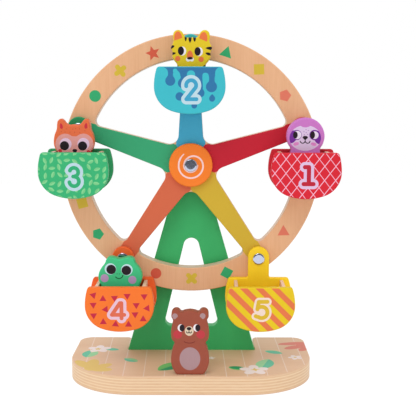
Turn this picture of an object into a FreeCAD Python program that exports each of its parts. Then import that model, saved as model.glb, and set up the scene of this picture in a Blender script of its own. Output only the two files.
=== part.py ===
import FreeCAD, Part
import math
import os

from FreeCAD import Vector

# Wooden Ferris wheel toy. Millimetres, Z up, the front looks along -Y.
# The origin is the middle of the base board's underside.

# Base board
base_width = 237.0
base_depth = 128.0
base_thickness = 18.0
base_front_corner = 65.0
base_rear_corner = 13.5
notch_mouth_corner = 5.0
board_edge_round = 1.0

# Tower plate, which stands in the notch at the rear of the base board
tower_thickness = 12.0
tower_foot_width = 129.0
tower_top_radius = 9.2
tower_window_sill = 25.0
tower_window_width = 56.4
tower_window_below_axle = 75.0
tower_window_top_radius = 7.8
tower_window_corner = 6.0
notch_clearance = 0.1

# Screws that hold the tower to the base board
screw_radius = 2.0
screw_length = 34.0
screw_tip_length = 4.0
screw_tip_radius = 0.4
screw_head_overhang = 2.0
screw_head_depth = 2.4
screw_outer_inset = 10.0
screw_inner_place = 18.0
screw_slot_width = 0.9
screw_slot_depth = 1.0
screw_slot_rim = 1.8

# Wheel plate: ring and spokes cut from one board
wheel_radius = 125.0
ring_width = 23.0
wheel_thickness = 15.0
spoke_count = 5
spoke_half_at_hub = 12.1
spoke_half_at_ring = 7.2
spoke_hub_reach = 25.0
opening_hub_corner = 9.0
opening_ring_corner = 5.5
wheel_tower_gap = 3.5
first_spoke_angle = 18.0

# Hub disc, bush and axle
hub_disc_radius = 21.0
hub_disc_thickness = 6.0
hub_disc_round = 1.5
axle_radius = 4.0
axle_head_overhang = 1.9
axle_head_height = 3.4
axle_head_rim = 1.0
bush_wall = 2.0
axle_spacer_wall = 4.5
axle_washer_wall = 4.5
axle_washer_thickness = 1.5
axle_nut_wall = 2.5
axle_nut_thickness = 6.5
axle_nut_corner_cut = 0.6
axle_nut_cap_inset = 1.0
axle_nut_cap_height = 3.6
axle_nut_blind_end = 1.2

# Fits
running_clearance = 0.05
joint_clearance = 0.05
face_clearance = 0.25

# Gondolas: two panels, two side boards and a floor board
pivot_inset = 12.3
panel_thickness = 6.0
panel_width = 65.0
panel_height = 42.8
panel_widest_depth = 18.0
panel_bottom_crown = 1.6
panel_side_radius = 56.0
panel_top_corner = 3.0
panel_edge_round = 1.2
panel_drop = 20.1
back_panel_rise = 1.2
lug_radius = 10.3
lug_crown_rise = 1.3
lug_root_round = 2.0
cavity_depth = 32.0
side_board_thickness = 3.0
side_board_inset = 8.6
side_board_top_drop = 1.0
floor_thickness = 3.0
floor_lift = 7.2
side_board_overlap = 1.0
groove_depth = 1.5
deck_clearance = 15.4

# Pivot bolts, washers and nuts
pivot_radius = 3.0
pivot_head_overhang = 2.5
pivot_head_height = 3.2
pivot_head_rim = 1.0
pivot_gap = 1.5
pivot_washer_wall = 3.5
pivot_nut_wall = 2.5
pivot_nut_thickness = 4.2
nut_pocket_clearance = 0.3
nut_slot_width = 1.2
nut_slot_depth = 0.9

# Play figures
figure_thickness = 11.5
figure_side_gap = 3.15
figure_back_gap = 7.0
figure_round = 1.8
figure_round_of_tightest_bend = 0.8
foot_corner = 1.5
tiger_height = 66.6
sloth_height = 64.2
fox_height = 62.8
frog_height = 57.6
bear_height = 62.0
tiger_shift = 1.2
sloth_shift = 1.0
fox_shift = -2.0
frog_shift = -1.0
bear_shift = 0.3
bear_setback = 4.5
bear_gap = 2.0

# Places worked out from the sizes above
front_edge_y = -base_depth / 2
gondola_depth = 2 * panel_thickness + cavity_depth
gondola_front_y = front_edge_y + bear_setback + figure_thickness + bear_gap
cavity_front_y = gondola_front_y + panel_thickness
cavity_back_y = cavity_front_y + cavity_depth
gondola_back_y = gondola_front_y + gondola_depth
wheel_front_y = gondola_back_y + pivot_gap
wheel_back_y = wheel_front_y + wheel_thickness
tower_front_y = wheel_back_y + wheel_tower_gap
tower_back_y = tower_front_y + tower_thickness
hub_front_y = wheel_front_y - hub_disc_thickness
pivot_circle_radius = wheel_radius - pivot_inset
hang_depth = panel_drop + panel_height
axle_z = base_thickness + deck_clearance + hang_depth + pivot_circle_radius
ring_inner_radius = wheel_radius - ring_width
cavity_half = panel_width / 2 - side_board_inset - side_board_thickness
figure_half = cavity_half - figure_side_gap
floor_underside = -hang_depth + floor_lift
floor_top = floor_underside + floor_thickness
bush_radius = axle_radius + running_clearance + bush_wall
pivot_nut_radius = pivot_radius + pivot_nut_wall


def vec(x, z):
    """A point in the upright XZ plane."""
    return Vector(x, 0, z)


def polar(radius, angle):
    """A point in the XZ plane, its angle in radians from +X towards +Z."""
    return vec(radius * math.cos(angle), radius * math.sin(angle))


def heading(point):
    """The angle of a point of the XZ plane about the origin, in radians."""
    return math.atan2(point.z, point.x)


def line(start, end):
    return Part.LineSegment(start, end).toShape()


def arc(start, middle, end):
    return Part.Arc(start, middle, end).toShape()


def arc_about(centre, radius, first_angle, last_angle):
    """An arc in the XZ plane about a centre, angles in radians from +X towards +Z."""
    middle_angle = (first_angle + last_angle) / 2
    points = [centre + polar(radius, angle) for angle in (first_angle, middle_angle, last_angle)]
    return arc(*points)


def arc_leaving(start, direction, end):
    """The arc that leaves one point in a given direction and ends at another."""
    chord = end - start
    along = Vector(chord).normalize()
    cosine = direction.dot(along)
    sideways = direction - along * cosine
    if sideways.Length < 1e-6:
        return line(start, end)
    return arc(start, (start + end) / 2 + sideways * (chord.Length / 2 / (1 + cosine)), end)


def direction_at_end(direction, chord):
    """The direction in which an arc ends, from the one in which it starts and its chord."""
    along = Vector(chord).normalize()
    return along * (2 * direction.dot(along)) - direction


def smooth_arcs(points):
    """Arcs through a row of points, two between neighbours, each tangent to the next.

    The direction at a point is that of the circle through it and its two neighbours.
    """
    directions = []
    for before, point, after in zip(points, points[1:], points[2:]):
        first = point - before
        last = after - point
        directions.append((first / first.Length ** 2 + last / last.Length ** 2).normalize())
    directions.insert(0, direction_at_end(directions[0], points[1] - points[0]))
    directions.append(direction_at_end(directions[-1], points[-1] - points[-2]))
    edges = []
    for start, end, leave, arrive in zip(points, points[1:], directions, directions[1:]):
        chord = end - start
        ahead = chord.dot(leave + arrive)
        turn = 2 * (1 - leave.dot(arrive))
        reach = chord.dot(chord) / (ahead + math.sqrt(ahead ** 2 + turn * chord.dot(chord)))
        joint = (start + end + (leave - arrive) * reach) / 2
        edges.append(arc_leaving(start, leave, joint))
        edges.append(arc_leaving(joint, direction_at_end(leave, joint - start), end))
    return edges


def rounded_outline(corners):
    """A closed wire through corners (point, radius), each corner an arc of its radius."""
    joints = []
    count = len(corners)
    for index in range(count):
        point, radius = corners[index]
        before = (corners[index - 1][0] - point).normalize()
        after = (corners[(index + 1) % count][0] - point).normalize()
        half_angle = before.getAngle(after) / 2
        if radius <= 0:
            joints.append((point, None, point))
            continue
        reach = radius / math.tan(half_angle)
        bisector = (before + after).normalize()
        centre = point + bisector * (radius / math.sin(half_angle))
        middle = centre - bisector * radius
        joints.append((point + before * reach, middle, point + after * reach))
    edges = []
    for index in range(count):
        start, middle, end = joints[index]
        if middle is not None:
            edges.append(arc(start, middle, end))
        following = joints[(index + 1) % count][0]
        if end.distanceToPoint(following) > 1e-6:
            edges.append(line(end, following))
    return Part.Wire(edges)


def plate(wire, front_y, thickness):
    """A board with an outline in the XZ plane, from its front face towards +Y."""
    solid = Part.Face(wire).extrude(Vector(0, thickness, 0))
    solid.translate(Vector(0, front_y, 0))
    return solid


def rod(radius, front_y, length):
    """A cylinder along +Y from front_y, about the local Y axis."""
    return Part.makeCylinder(radius, length, Vector(0, front_y, 0), Vector(0, 1, 0))


def ring(outer_radius, inner_radius, front_y, length):
    return rod(outer_radius, front_y, length).cut(rod(inner_radius, front_y, length))


def edges_on_y(solid, *planes):
    """The edges of a solid that lie in the given planes of constant Y."""
    found = []
    for edge in solid.Edges:
        box = edge.BoundBox
        for plane_y in planes:
            if abs(box.YMin - plane_y) < 1e-4 and abs(box.YMax - plane_y) < 1e-4:
                found.append(edge)
    return found


def edges_along_y(solid):
    """The straight edges of a board from its front face to its back face, nearest the Y axis first."""
    found = []
    for edge in solid.Edges:
        box = edge.BoundBox
        if box.XLength < 1e-4 and box.ZLength < 1e-4 and box.YLength > 1e-3:
            found.append(edge)
    return sorted(found, key=lambda edge: vec(edge.BoundBox.XMin, edge.BoundBox.ZMin).Length)


def tangent_point(point, centre, radius, side):
    """Where the line from a point touches a circle, on its +1 or -1 side."""
    reach = centre - point
    turn = heading(reach) + side * math.asin(radius / reach.Length)
    return point + polar(math.sqrt(reach.Length ** 2 - radius ** 2), turn)


def domed_head(radius, height, rim, seat_y):
    """A bolt head: a short cylinder under a spherical cap, from its seat towards -Y."""
    rise = height - rim
    sphere_radius = (radius * radius + rise * rise) / (2 * rise)
    centre_y = seat_y - height + sphere_radius
    ball = Part.makeSphere(sphere_radius, Vector(0, centre_y, 0))
    return rod(radius, seat_y - height, height).common(ball)


def make_base_board():
    half = base_width / 2
    rear_y = base_depth / 2
    notch_half = tower_foot_width / 2 + notch_clearance
    right = [
        (Vector(half, front_edge_y, 0), base_front_corner),
        (Vector(half, rear_y, 0), base_rear_corner),
        (Vector(notch_half, rear_y, 0), notch_mouth_corner),
        (Vector(notch_half, tower_front_y, 0), 0),
    ]
    left = [(Vector(-point.x, point.y, 0), radius) for point, radius in reversed(right)]
    board = Part.Face(rounded_outline(right + left)).extrude(Vector(0, 0, base_thickness))
    top_edges = []
    for edge in board.Edges:
        box = edge.BoundBox
        in_notch_wall = box.YMin > tower_front_y - 1e-3 and box.YMax < tower_front_y + 1e-3
        if box.ZMin > base_thickness - 1e-4 and not in_notch_wall:
            top_edges.append(edge)
    board = board.makeFillet(board_edge_round, top_edges)
    for x in screw_places():
        hole = rod(screw_radius + joint_clearance, tower_back_y - screw_length, screw_length)
        board = board.cut(hole.translated(vec(x, base_thickness / 2)))
    return board


def screw_places():
    outer = tower_foot_width / 2 - screw_outer_inset
    return (-outer, -screw_inner_place, screw_inner_place, outer)


def make_tower():
    foot = tower_foot_width / 2
    axle = vec(0, axle_z)
    shoulder = vec(foot, base_thickness)
    touch = tangent_point(shoulder, axle, tower_top_radius, -1)
    mirrored = vec(-touch.x, touch.z)
    outline = Part.Wire([
        line(vec(-foot, 0), vec(foot, 0)),
        line(vec(foot, 0), shoulder),
        line(shoulder, touch),
        arc(touch, axle + vec(0, tower_top_radius), mirrored),
        line(mirrored, vec(-foot, base_thickness)),
        line(vec(-foot, base_thickness), vec(-foot, 0)),
    ])
    board = plate(outline, tower_front_y, tower_thickness)
    board = board.cut(tower_window())
    above_base = []
    for edge in edges_on_y(board, tower_front_y, tower_back_y):
        if edge.BoundBox.ZMax > base_thickness + 1e-3:
            above_base.append(edge)
    board = board.makeFillet(board_edge_round, above_base)
    board = board.cut(rod(axle_radius + joint_clearance, tower_front_y, tower_thickness).translated(axle))
    for x in screw_places():
        place = vec(x, base_thickness / 2)
        board = board.cut(screw_body(joint_clearance).translated(place))
    return board


def tower_window():
    """The arched opening: a trapezium with round corners and a round crown."""
    half = tower_window_width / 2
    sill_z = base_thickness + tower_window_sill
    crown = vec(0, axle_z - tower_window_below_axle - tower_window_top_radius)
    touch = tangent_point(vec(half, sill_z), crown, tower_window_top_radius, -1)
    peak_z = touch.z + touch.x * (touch.x / (touch.z - crown.z))
    prism_outline = rounded_outline([
        (vec(half, sill_z), tower_window_corner),
        (vec(0, peak_z), tower_window_top_radius),
        (vec(-half, sill_z), tower_window_corner),
    ])
    return plate(prism_outline, tower_front_y, tower_thickness)


def screw_body(extra):
    """A countersunk wood screw along Y, its head in the tower's rear face."""
    shank = rod(screw_radius + extra, tower_back_y - screw_length, screw_length)
    head = Part.makeCone(screw_radius + extra, screw_radius + screw_head_overhang + extra, screw_head_depth,
                         Vector(0, tower_back_y - screw_head_depth, 0), Vector(0, 1, 0))
    return shank.fuse(head).removeSplitter()


def make_tower_screws():
    slot_half = screw_radius + screw_head_overhang - screw_slot_rim
    slot = Part.makeBox(2 * slot_half, screw_slot_depth, screw_slot_width,
                        Vector(-slot_half, tower_back_y - screw_slot_depth, -screw_slot_width / 2))
    cross = slot.fuse(slot.rotated(Vector(0, 0, 0), Vector(0, 1, 0), 90))
    tip_y = tower_back_y - screw_length
    tip = Part.makeCone(screw_tip_radius, screw_radius, screw_tip_length,
                        Vector(0, tip_y, 0), Vector(0, 1, 0))
    blunt = rod(screw_radius, tip_y, screw_tip_length)
    screw = screw_body(0).cut(blunt).fuse(tip).removeSplitter().cut(cross)
    return [screw.translated(vec(x, base_thickness / 2)) for x in screw_places()]


def wheel_opening():
    """The opening between two spokes, a sector whose straight sides are the spokes' tapered edges.

    In the frame of the spoke below it, along and across, the edge is across = start - taper * along.
    """
    half_step = math.pi / spoke_count
    taper = (spoke_half_at_hub - spoke_half_at_ring) / (ring_inner_radius - spoke_hub_reach)
    start = spoke_half_at_hub + taper * spoke_hub_reach
    apex_along = start / (math.tan(half_step) + taper)
    apex = polar(apex_along / math.cos(half_step), half_step)
    slope = 1 + taper ** 2
    root = math.sqrt((start * taper) ** 2 - slope * (start ** 2 - ring_inner_radius ** 2))
    rim_along = (start * taper + root) / slope
    rim_turn = math.atan2(start - taper * rim_along, rim_along)
    first = polar(ring_inner_radius, rim_turn)
    last = polar(ring_inner_radius, 2 * half_step - rim_turn)
    crown = polar(ring_inner_radius, half_step)
    outline = Part.Wire([line(apex, first), arc(first, crown, last), line(last, apex)])
    prism = plate(outline, wheel_front_y, wheel_thickness)
    prism = prism.makeFillet(opening_ring_corner, edges_along_y(prism)[1:])
    return prism.makeFillet(opening_hub_corner, edges_along_y(prism)[:1])


def spoke_angles():
    """The angle of each spoke in degrees, from +X towards +Z."""
    return [first_spoke_angle + 360.0 / spoke_count * index for index in range(spoke_count)]


def pivot_places():
    """The gondola pivots about the wheel's centre."""
    return [polar(pivot_circle_radius, math.radians(angle)) for angle in spoke_angles()]


def make_wheel_plate():
    board = rod(wheel_radius, wheel_front_y, wheel_thickness)
    opening = wheel_opening()
    for angle in spoke_angles():
        board = board.cut(opening.rotated(Vector(0, 0, 0), Vector(0, 1, 0), -angle))
    board = board.makeFillet(board_edge_round, edges_on_y(board, wheel_front_y, wheel_back_y))
    board = board.cut(rod(bush_radius + joint_clearance, wheel_front_y, wheel_thickness))
    pocket_depth = pivot_nut_thickness + nut_pocket_clearance + face_clearance
    for place in pivot_places():
        bore = rod(pivot_radius + running_clearance, wheel_front_y, wheel_thickness)
        pocket = rod(pivot_nut_radius + nut_pocket_clearance, wheel_back_y - pocket_depth, pocket_depth)
        board = board.cut(bore.fuse(pocket).translated(place))
    return board.translated(vec(0, axle_z))


def make_hub_disc():
    disc = rod(hub_disc_radius, hub_front_y, hub_disc_thickness)
    disc = disc.makeFillet(hub_disc_round, edges_on_y(disc, hub_front_y))
    disc = disc.cut(rod(bush_radius + joint_clearance, hub_front_y, hub_disc_thickness))
    return disc.translated(vec(0, axle_z))


def make_hub_bush():
    length = hub_disc_thickness + wheel_thickness
    bush = ring(bush_radius, axle_radius + running_clearance, hub_front_y, length)
    return bush.translated(vec(0, axle_z))


def make_axle_bolt():
    seat_y = hub_front_y - face_clearance
    end_y = tower_back_y + axle_washer_thickness + axle_nut_thickness - axle_nut_blind_end
    head = domed_head(axle_radius + axle_head_overhang, axle_head_height, axle_head_rim, seat_y)
    bolt = head.fuse(rod(axle_radius, seat_y, end_y - seat_y))
    return bolt.removeSplitter().translated(vec(0, axle_z))


def make_axle_spacer():
    length = wheel_tower_gap - face_clearance
    radius = axle_radius + axle_spacer_wall
    spacer = ring(radius, axle_radius + joint_clearance, tower_front_y - length, length)
    return spacer.translated(vec(0, axle_z))


def make_axle_washer():
    radius = axle_radius + axle_washer_wall
    washer = ring(radius, axle_radius + joint_clearance, tower_back_y, axle_washer_thickness)
    return washer.translated(vec(0, axle_z))


def make_axle_nut():
    """A hexagon nut with a round cap, its outer corners cut back by a cone."""
    half_flats = axle_radius + axle_nut_wall
    corner = half_flats / math.cos(math.pi / 6)
    points = [polar(corner, index * math.pi / 3) for index in range(7)]
    seat_y = tower_back_y + axle_washer_thickness
    body = plate(Part.makePolygon(points), seat_y, axle_nut_thickness)
    cone = Part.makeCone(corner + axle_nut_thickness, corner - axle_nut_corner_cut,
                         axle_nut_thickness + axle_nut_corner_cut, Vector(0, seat_y, 0), Vector(0, 1, 0))
    body = body.common(cone)
    cap_radius = half_flats - axle_nut_cap_inset
    cap_y = seat_y + axle_nut_thickness
    ball_radius = (cap_radius ** 2 + axle_nut_cap_height ** 2) / (2 * axle_nut_cap_height)
    ball = Part.makeSphere(ball_radius, Vector(0, cap_y + axle_nut_cap_height - ball_radius, 0))
    cap = ball.common(rod(ball_radius, cap_y, axle_nut_cap_height))
    body = body.fuse(cap).removeSplitter()
    thread_length = axle_nut_thickness - axle_nut_blind_end + joint_clearance
    thread = rod(axle_radius + joint_clearance, seat_y, thread_length)
    return body.cut(thread).translated(vec(0, axle_z))


def panel_top_corner_centre(rise):
    """The centre of the arc that rounds a panel's right top corner, the top edge at the given rise."""
    reach = math.sqrt((panel_side_radius - panel_top_corner) ** 2
                      - (panel_widest_depth + rise - panel_top_corner) ** 2)
    return vec(panel_width / 2 - panel_side_radius + reach, rise - panel_top_corner)


def panel_edges(rise):
    """The D outline of a panel without its top edge, from its right top corner to its left one.

    Each side is a corner arc, a wide arc down to the widest point and a lower arc, and one
    shallow arc is the bottom. Neighbouring arcs are tangent. The top edge is at the given rise.
    """
    half = panel_width / 2
    fall = panel_height - panel_widest_depth
    lower_radius = fall - panel_bottom_crown
    lower_centre = vec(half - lower_radius, -panel_widest_depth)
    bottom_radius = (lower_centre.x ** 2 + fall ** 2 - lower_radius ** 2) / (2 * panel_bottom_crown)
    bottom_centre = vec(0, bottom_radius - panel_height)
    side_centre = vec(half - panel_side_radius, -panel_widest_depth)
    corner_centre = panel_top_corner_centre(rise)
    side_turn = heading(corner_centre - side_centre)
    low_turn = heading(lower_centre - bottom_centre)
    right = [
        arc_about(corner_centre, panel_top_corner, math.pi / 2, side_turn),
        arc_about(side_centre, panel_side_radius, side_turn, 0),
        arc_about(lower_centre, lower_radius, 0, low_turn),
    ]
    left = [edge.mirror(Vector(0, 0, 0), Vector(1, 0, 0)) for edge in reversed(right)]
    bottom = arc_about(bottom_centre, bottom_radius, low_turn, -math.pi - low_turn)
    return right + [bottom] + left


def board_slots(solid):
    """Cuts the grooves for the side boards and the floor out of a panel's cavity face."""
    for board in (make_side_board(1, groove_clearance=True), make_side_board(-1, groove_clearance=True),
                  make_floor(groove_clearance=True)):
        solid = solid.cut(board)
    return solid


def make_front_panel():
    corner_x = panel_top_corner_centre(0).x
    top = line(vec(-corner_x, 0), vec(corner_x, 0))
    panel = plate(Part.Wire(Part.__sortEdges__(panel_edges(0) + [top])), gondola_front_y, panel_thickness)
    panel.translate(vec(0, -panel_drop))
    panel = panel.makeFillet(panel_edge_round, edges_on_y(panel, gondola_front_y, cavity_front_y))
    return board_slots(panel)


def make_back_panel():
    """The rear panel, a little taller than the front one, with the lug that hangs on the pivot bolt."""
    corner_x = panel_top_corner_centre(back_panel_rise).x
    root_right = vec(lug_radius + lug_root_round, back_panel_rise)
    neck_right = vec(lug_radius, back_panel_rise + lug_root_round)
    root_centre = vec(root_right.x, neck_right.z)
    crown_centre = vec(0, panel_drop + lug_crown_rise)
    right = [
        line(vec(corner_x, back_panel_rise), root_right),
        arc_about(root_centre, lug_root_round, -math.pi / 2, -math.pi),
        line(neck_right, crown_centre + vec(lug_radius, 0)),
    ]
    left = [edge.mirror(Vector(0, 0, 0), Vector(1, 0, 0)) for edge in right]
    crown = arc_about(crown_centre, lug_radius, 0, math.pi)
    wire = Part.Wire(Part.__sortEdges__(panel_edges(back_panel_rise) + right + [crown] + left))
    panel = plate(wire, cavity_back_y, panel_thickness)
    panel.translate(vec(0, -panel_drop))
    panel = panel.makeFillet(panel_edge_round, edges_on_y(panel, cavity_back_y, gondola_back_y))
    panel = panel.cut(rod(pivot_radius + running_clearance, cavity_back_y, panel_thickness))
    return board_slots(panel)


def make_side_board(side, groove_clearance=False):
    """A side board, its ends let into both panels; side is +1 on the right."""
    extra = joint_clearance if groove_clearance else 0
    length = cavity_depth + 2 * groove_depth
    inner = cavity_half - extra
    thickness = side_board_thickness + 2 * extra
    bottom = floor_top - side_board_overlap - extra
    top = -panel_drop - side_board_top_drop
    height = top - bottom + extra
    x = inner if side > 0 else -inner - thickness
    front_y = cavity_front_y - groove_depth - extra
    return Part.makeBox(thickness, length + 2 * extra, height, Vector(x, front_y, bottom))


def make_floor(groove_clearance=False):
    extra = joint_clearance if groove_clearance else 0
    length = cavity_depth + 2 * groove_depth + 2 * extra
    half = cavity_half - joint_clearance + extra
    front_y = cavity_front_y - groove_depth - extra
    return Part.makeBox(2 * half, length, floor_thickness + 2 * extra,
                        Vector(-half, front_y, floor_underside - extra))


def make_pivot_bolt():
    seat_y = cavity_back_y - face_clearance
    length = wheel_back_y - nut_slot_depth - seat_y
    head = domed_head(pivot_radius + pivot_head_overhang, pivot_head_height, pivot_head_rim, seat_y)
    return head.fuse(rod(pivot_radius, seat_y, length)).removeSplitter()


def make_pivot_washer():
    length = pivot_gap - 2 * face_clearance
    radius = pivot_radius + pivot_washer_wall
    return ring(radius, pivot_radius + joint_clearance, gondola_back_y + face_clearance, length)


def make_pivot_nut():
    front_y = wheel_back_y - pivot_nut_thickness
    nut = rod(pivot_nut_radius, front_y, pivot_nut_thickness)
    bore_depth = pivot_nut_thickness - nut_slot_depth + joint_clearance
    nut = nut.cut(rod(pivot_radius + joint_clearance, front_y, bore_depth))
    slot = Part.makeBox(2 * pivot_nut_radius, nut_slot_depth, nut_slot_width,
                        Vector(-pivot_nut_radius, wheel_back_y - nut_slot_depth, -nut_slot_width / 2))
    return nut.cut(slot)


# Outlines of the figures, from the foot to the top of the head:
# (part of the figure's half width, part of its height)
body_outline = [(0.68, 0.0), (0.90, 0.09), (1.0, 0.25), (0.92, 0.38)]
bear_head = [(0.825, 0.50), (0.933, 0.54), (0.992, 0.626), (0.971, 0.703), (0.927, 0.765),
             (0.885, 0.823), (0.975, 0.905), (0.90, 0.976), (0.717, 1.0), (0.56, 0.985),
             (0.462, 0.955), (0.25, 0.968), (0.0, 0.978)]
tiger_head = [(0.768, 0.537), (0.89, 0.578), (0.959, 0.607), (0.998, 0.655), (0.989, 0.704),
              (1.073, 0.758), (1.0, 0.80), (0.942, 0.84), (0.957, 0.92), (0.904, 0.971),
              (0.676, 1.0), (0.50, 0.978), (0.408, 0.943), (0.327, 0.908), (0.0, 0.90)]
sloth_head = [(0.795, 0.564), (0.90, 0.61), (0.95, 0.65), (0.997, 0.726), (0.921, 0.831),
              (0.705, 0.921), (0.381, 0.981), (0.0, 1.0)]
fox_head = [(0.875, 0.506), (0.970, 0.548), (1.038, 0.595), (1.059, 0.661), (1.038, 0.721),
            (0.991, 0.775), (0.917, 0.823), (0.881, 0.865), (0.868, 0.913), (0.817, 0.970),
            (0.643, 1.0), (0.525, 0.976), (0.43, 0.94), (0.31, 0.915), (0.0, 0.915)]
frog_head = [(1.0, 0.478), (1.06, 0.532), (1.13, 0.58), (1.18, 0.64), (1.175, 0.692),
             (1.12, 0.755), (1.02, 0.811), (0.89, 0.86), (0.81, 0.90), (0.744, 0.953),
             (0.64, 0.989), (0.476, 1.0), (0.258, 0.985), (0.0, 0.965)]


def make_figure(head_outline, height):
    """A standing figure cut from a board: flat foot, front and back edges rounded."""
    right = [vec(x * figure_half, z * height) for x, z in body_outline + head_outline]
    left = [vec(-point.x, point.z) for point in reversed(right[:-1])]
    outline = smooth_arcs(right + left)
    foot = line(left[-1], right[0])
    board = plate(Part.Wire(outline + [foot]), 0, figure_thickness)
    foot_edges = [edge for edge in edges_along_y(board) if edge.BoundBox.ZMax < 1e-3]
    board = board.makeFillet(foot_corner, foot_edges)
    tightest_bend = min(edge.Curve.Radius for edge in outline if isinstance(edge.Curve, Part.Circle))
    edge_round = min(figure_round, figure_round_of_tightest_bend * tightest_bend)
    return board.makeFillet(edge_round, edges_on_y(board, 0, figure_thickness))


gondola_parts = {
    "front_panel": make_front_panel,
    "back_panel": make_back_panel,
    "left_side": lambda: make_side_board(-1),
    "right_side": lambda: make_side_board(1),
    "floor": make_floor,
    "pivot_bolt": make_pivot_bolt,
    "pivot_washer": make_pivot_washer,
    "pivot_nut": make_pivot_nut,
}
passengers = {
    1: ("sloth", sloth_head, sloth_height, sloth_shift),
    2: ("tiger", tiger_head, tiger_height, tiger_shift),
    3: ("fox", fox_head, fox_height, fox_shift),
    4: ("frog", frog_head, frog_height, frog_shift),
}


def build_all():
    """Every sub-part by name."""
    parts = {
        "base_board": make_base_board(),
        "tower": make_tower(),
        "tower_screws": Part.makeCompound(make_tower_screws()),
        "wheel_plate": make_wheel_plate(),
        "hub_disc": make_hub_disc(),
        "hub_bush": make_hub_bush(),
        "axle_bolt": make_axle_bolt(),
        "axle_spacer": make_axle_spacer(),
        "axle_washer": make_axle_washer(),
        "axle_nut": make_axle_nut(),
    }
    pieces = {name: make() for name, make in gondola_parts.items()}
    for number, place in enumerate(pivot_places(), start=1):
        pivot = place + vec(0, axle_z)
        for name, piece in pieces.items():
            parts["gondola_%d_%s" % (number, name)] = piece.translated(pivot)
        if number in passengers:
            figure, outline, height, shift = passengers[number]
            back_y = cavity_back_y - figure_back_gap
            foot = pivot + Vector(shift, back_y - figure_thickness, floor_top)
            parts["figure_" + figure] = make_figure(outline, height).translated(foot)
    bear_foot = Vector(bear_shift, gondola_front_y - bear_gap - figure_thickness, base_thickness)
    parts["figure_bear"] = make_figure(bear_head, bear_height).translated(bear_foot)
    return parts


os.makedirs("parts", exist_ok=True)
for part_name, shape in build_all().items():
    shape.exportStep(os.path.join("parts", part_name + ".step"))
    print(part_name, len(shape.Solids), "solids, valid:", shape.isValid(), "volume", round(shape.Volume, 1))
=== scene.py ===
import logging
import math
from dataclasses import dataclass, replace
from enum import Enum
from functools import reduce
from typing import Union

import bpy
from mathutils import Matrix, Vector


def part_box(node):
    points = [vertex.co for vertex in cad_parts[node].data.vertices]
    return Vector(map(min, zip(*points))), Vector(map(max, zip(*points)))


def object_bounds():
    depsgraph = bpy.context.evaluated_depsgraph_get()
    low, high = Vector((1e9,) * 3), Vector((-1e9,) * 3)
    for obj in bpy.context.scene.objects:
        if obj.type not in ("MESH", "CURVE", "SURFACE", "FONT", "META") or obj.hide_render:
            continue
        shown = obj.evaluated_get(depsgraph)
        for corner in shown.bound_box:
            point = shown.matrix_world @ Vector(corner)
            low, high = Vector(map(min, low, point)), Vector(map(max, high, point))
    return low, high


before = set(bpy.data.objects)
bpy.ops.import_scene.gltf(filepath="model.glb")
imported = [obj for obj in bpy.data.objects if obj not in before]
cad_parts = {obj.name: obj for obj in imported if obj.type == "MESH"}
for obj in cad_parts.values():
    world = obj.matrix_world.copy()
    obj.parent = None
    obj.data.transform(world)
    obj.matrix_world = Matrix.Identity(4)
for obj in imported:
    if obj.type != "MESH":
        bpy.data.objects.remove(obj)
cad_low, cad_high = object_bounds()

log = logging.getLogger("ferris_wheel_toy")

MILLIMETRE = 0.001
PRINT_BLUR = 0.12        # width in mm over which the edge of a print fades
PRINT_REACH = 0.15       # how far in mm ink reaches behind the flat front of a board
PAINT_SHEEN = 0.2        # how much matt paint and lacquer mirror, where 0.5 is plain gloss paint
WHITE_LIGHT = (1.0, 1.0, 1.0, 1.0)
PETALS = 5
PETAL_PLACE = 0.56       # a petal's centre, half length and half width as shares of its flower's reach
PETAL_LENGTH = 0.46
PETAL_WIDTH = 0.34
RIGHT_HALF = 90          # degrees from a leaf's turn to where the cut side of that half faces
LEFT_HALF = -90
PAINT_RELIEF = 0.035     # how deep in mm the grain shows in paint, and in bare wood
WOOD_RELIEF = 0.05


# Colours

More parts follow.
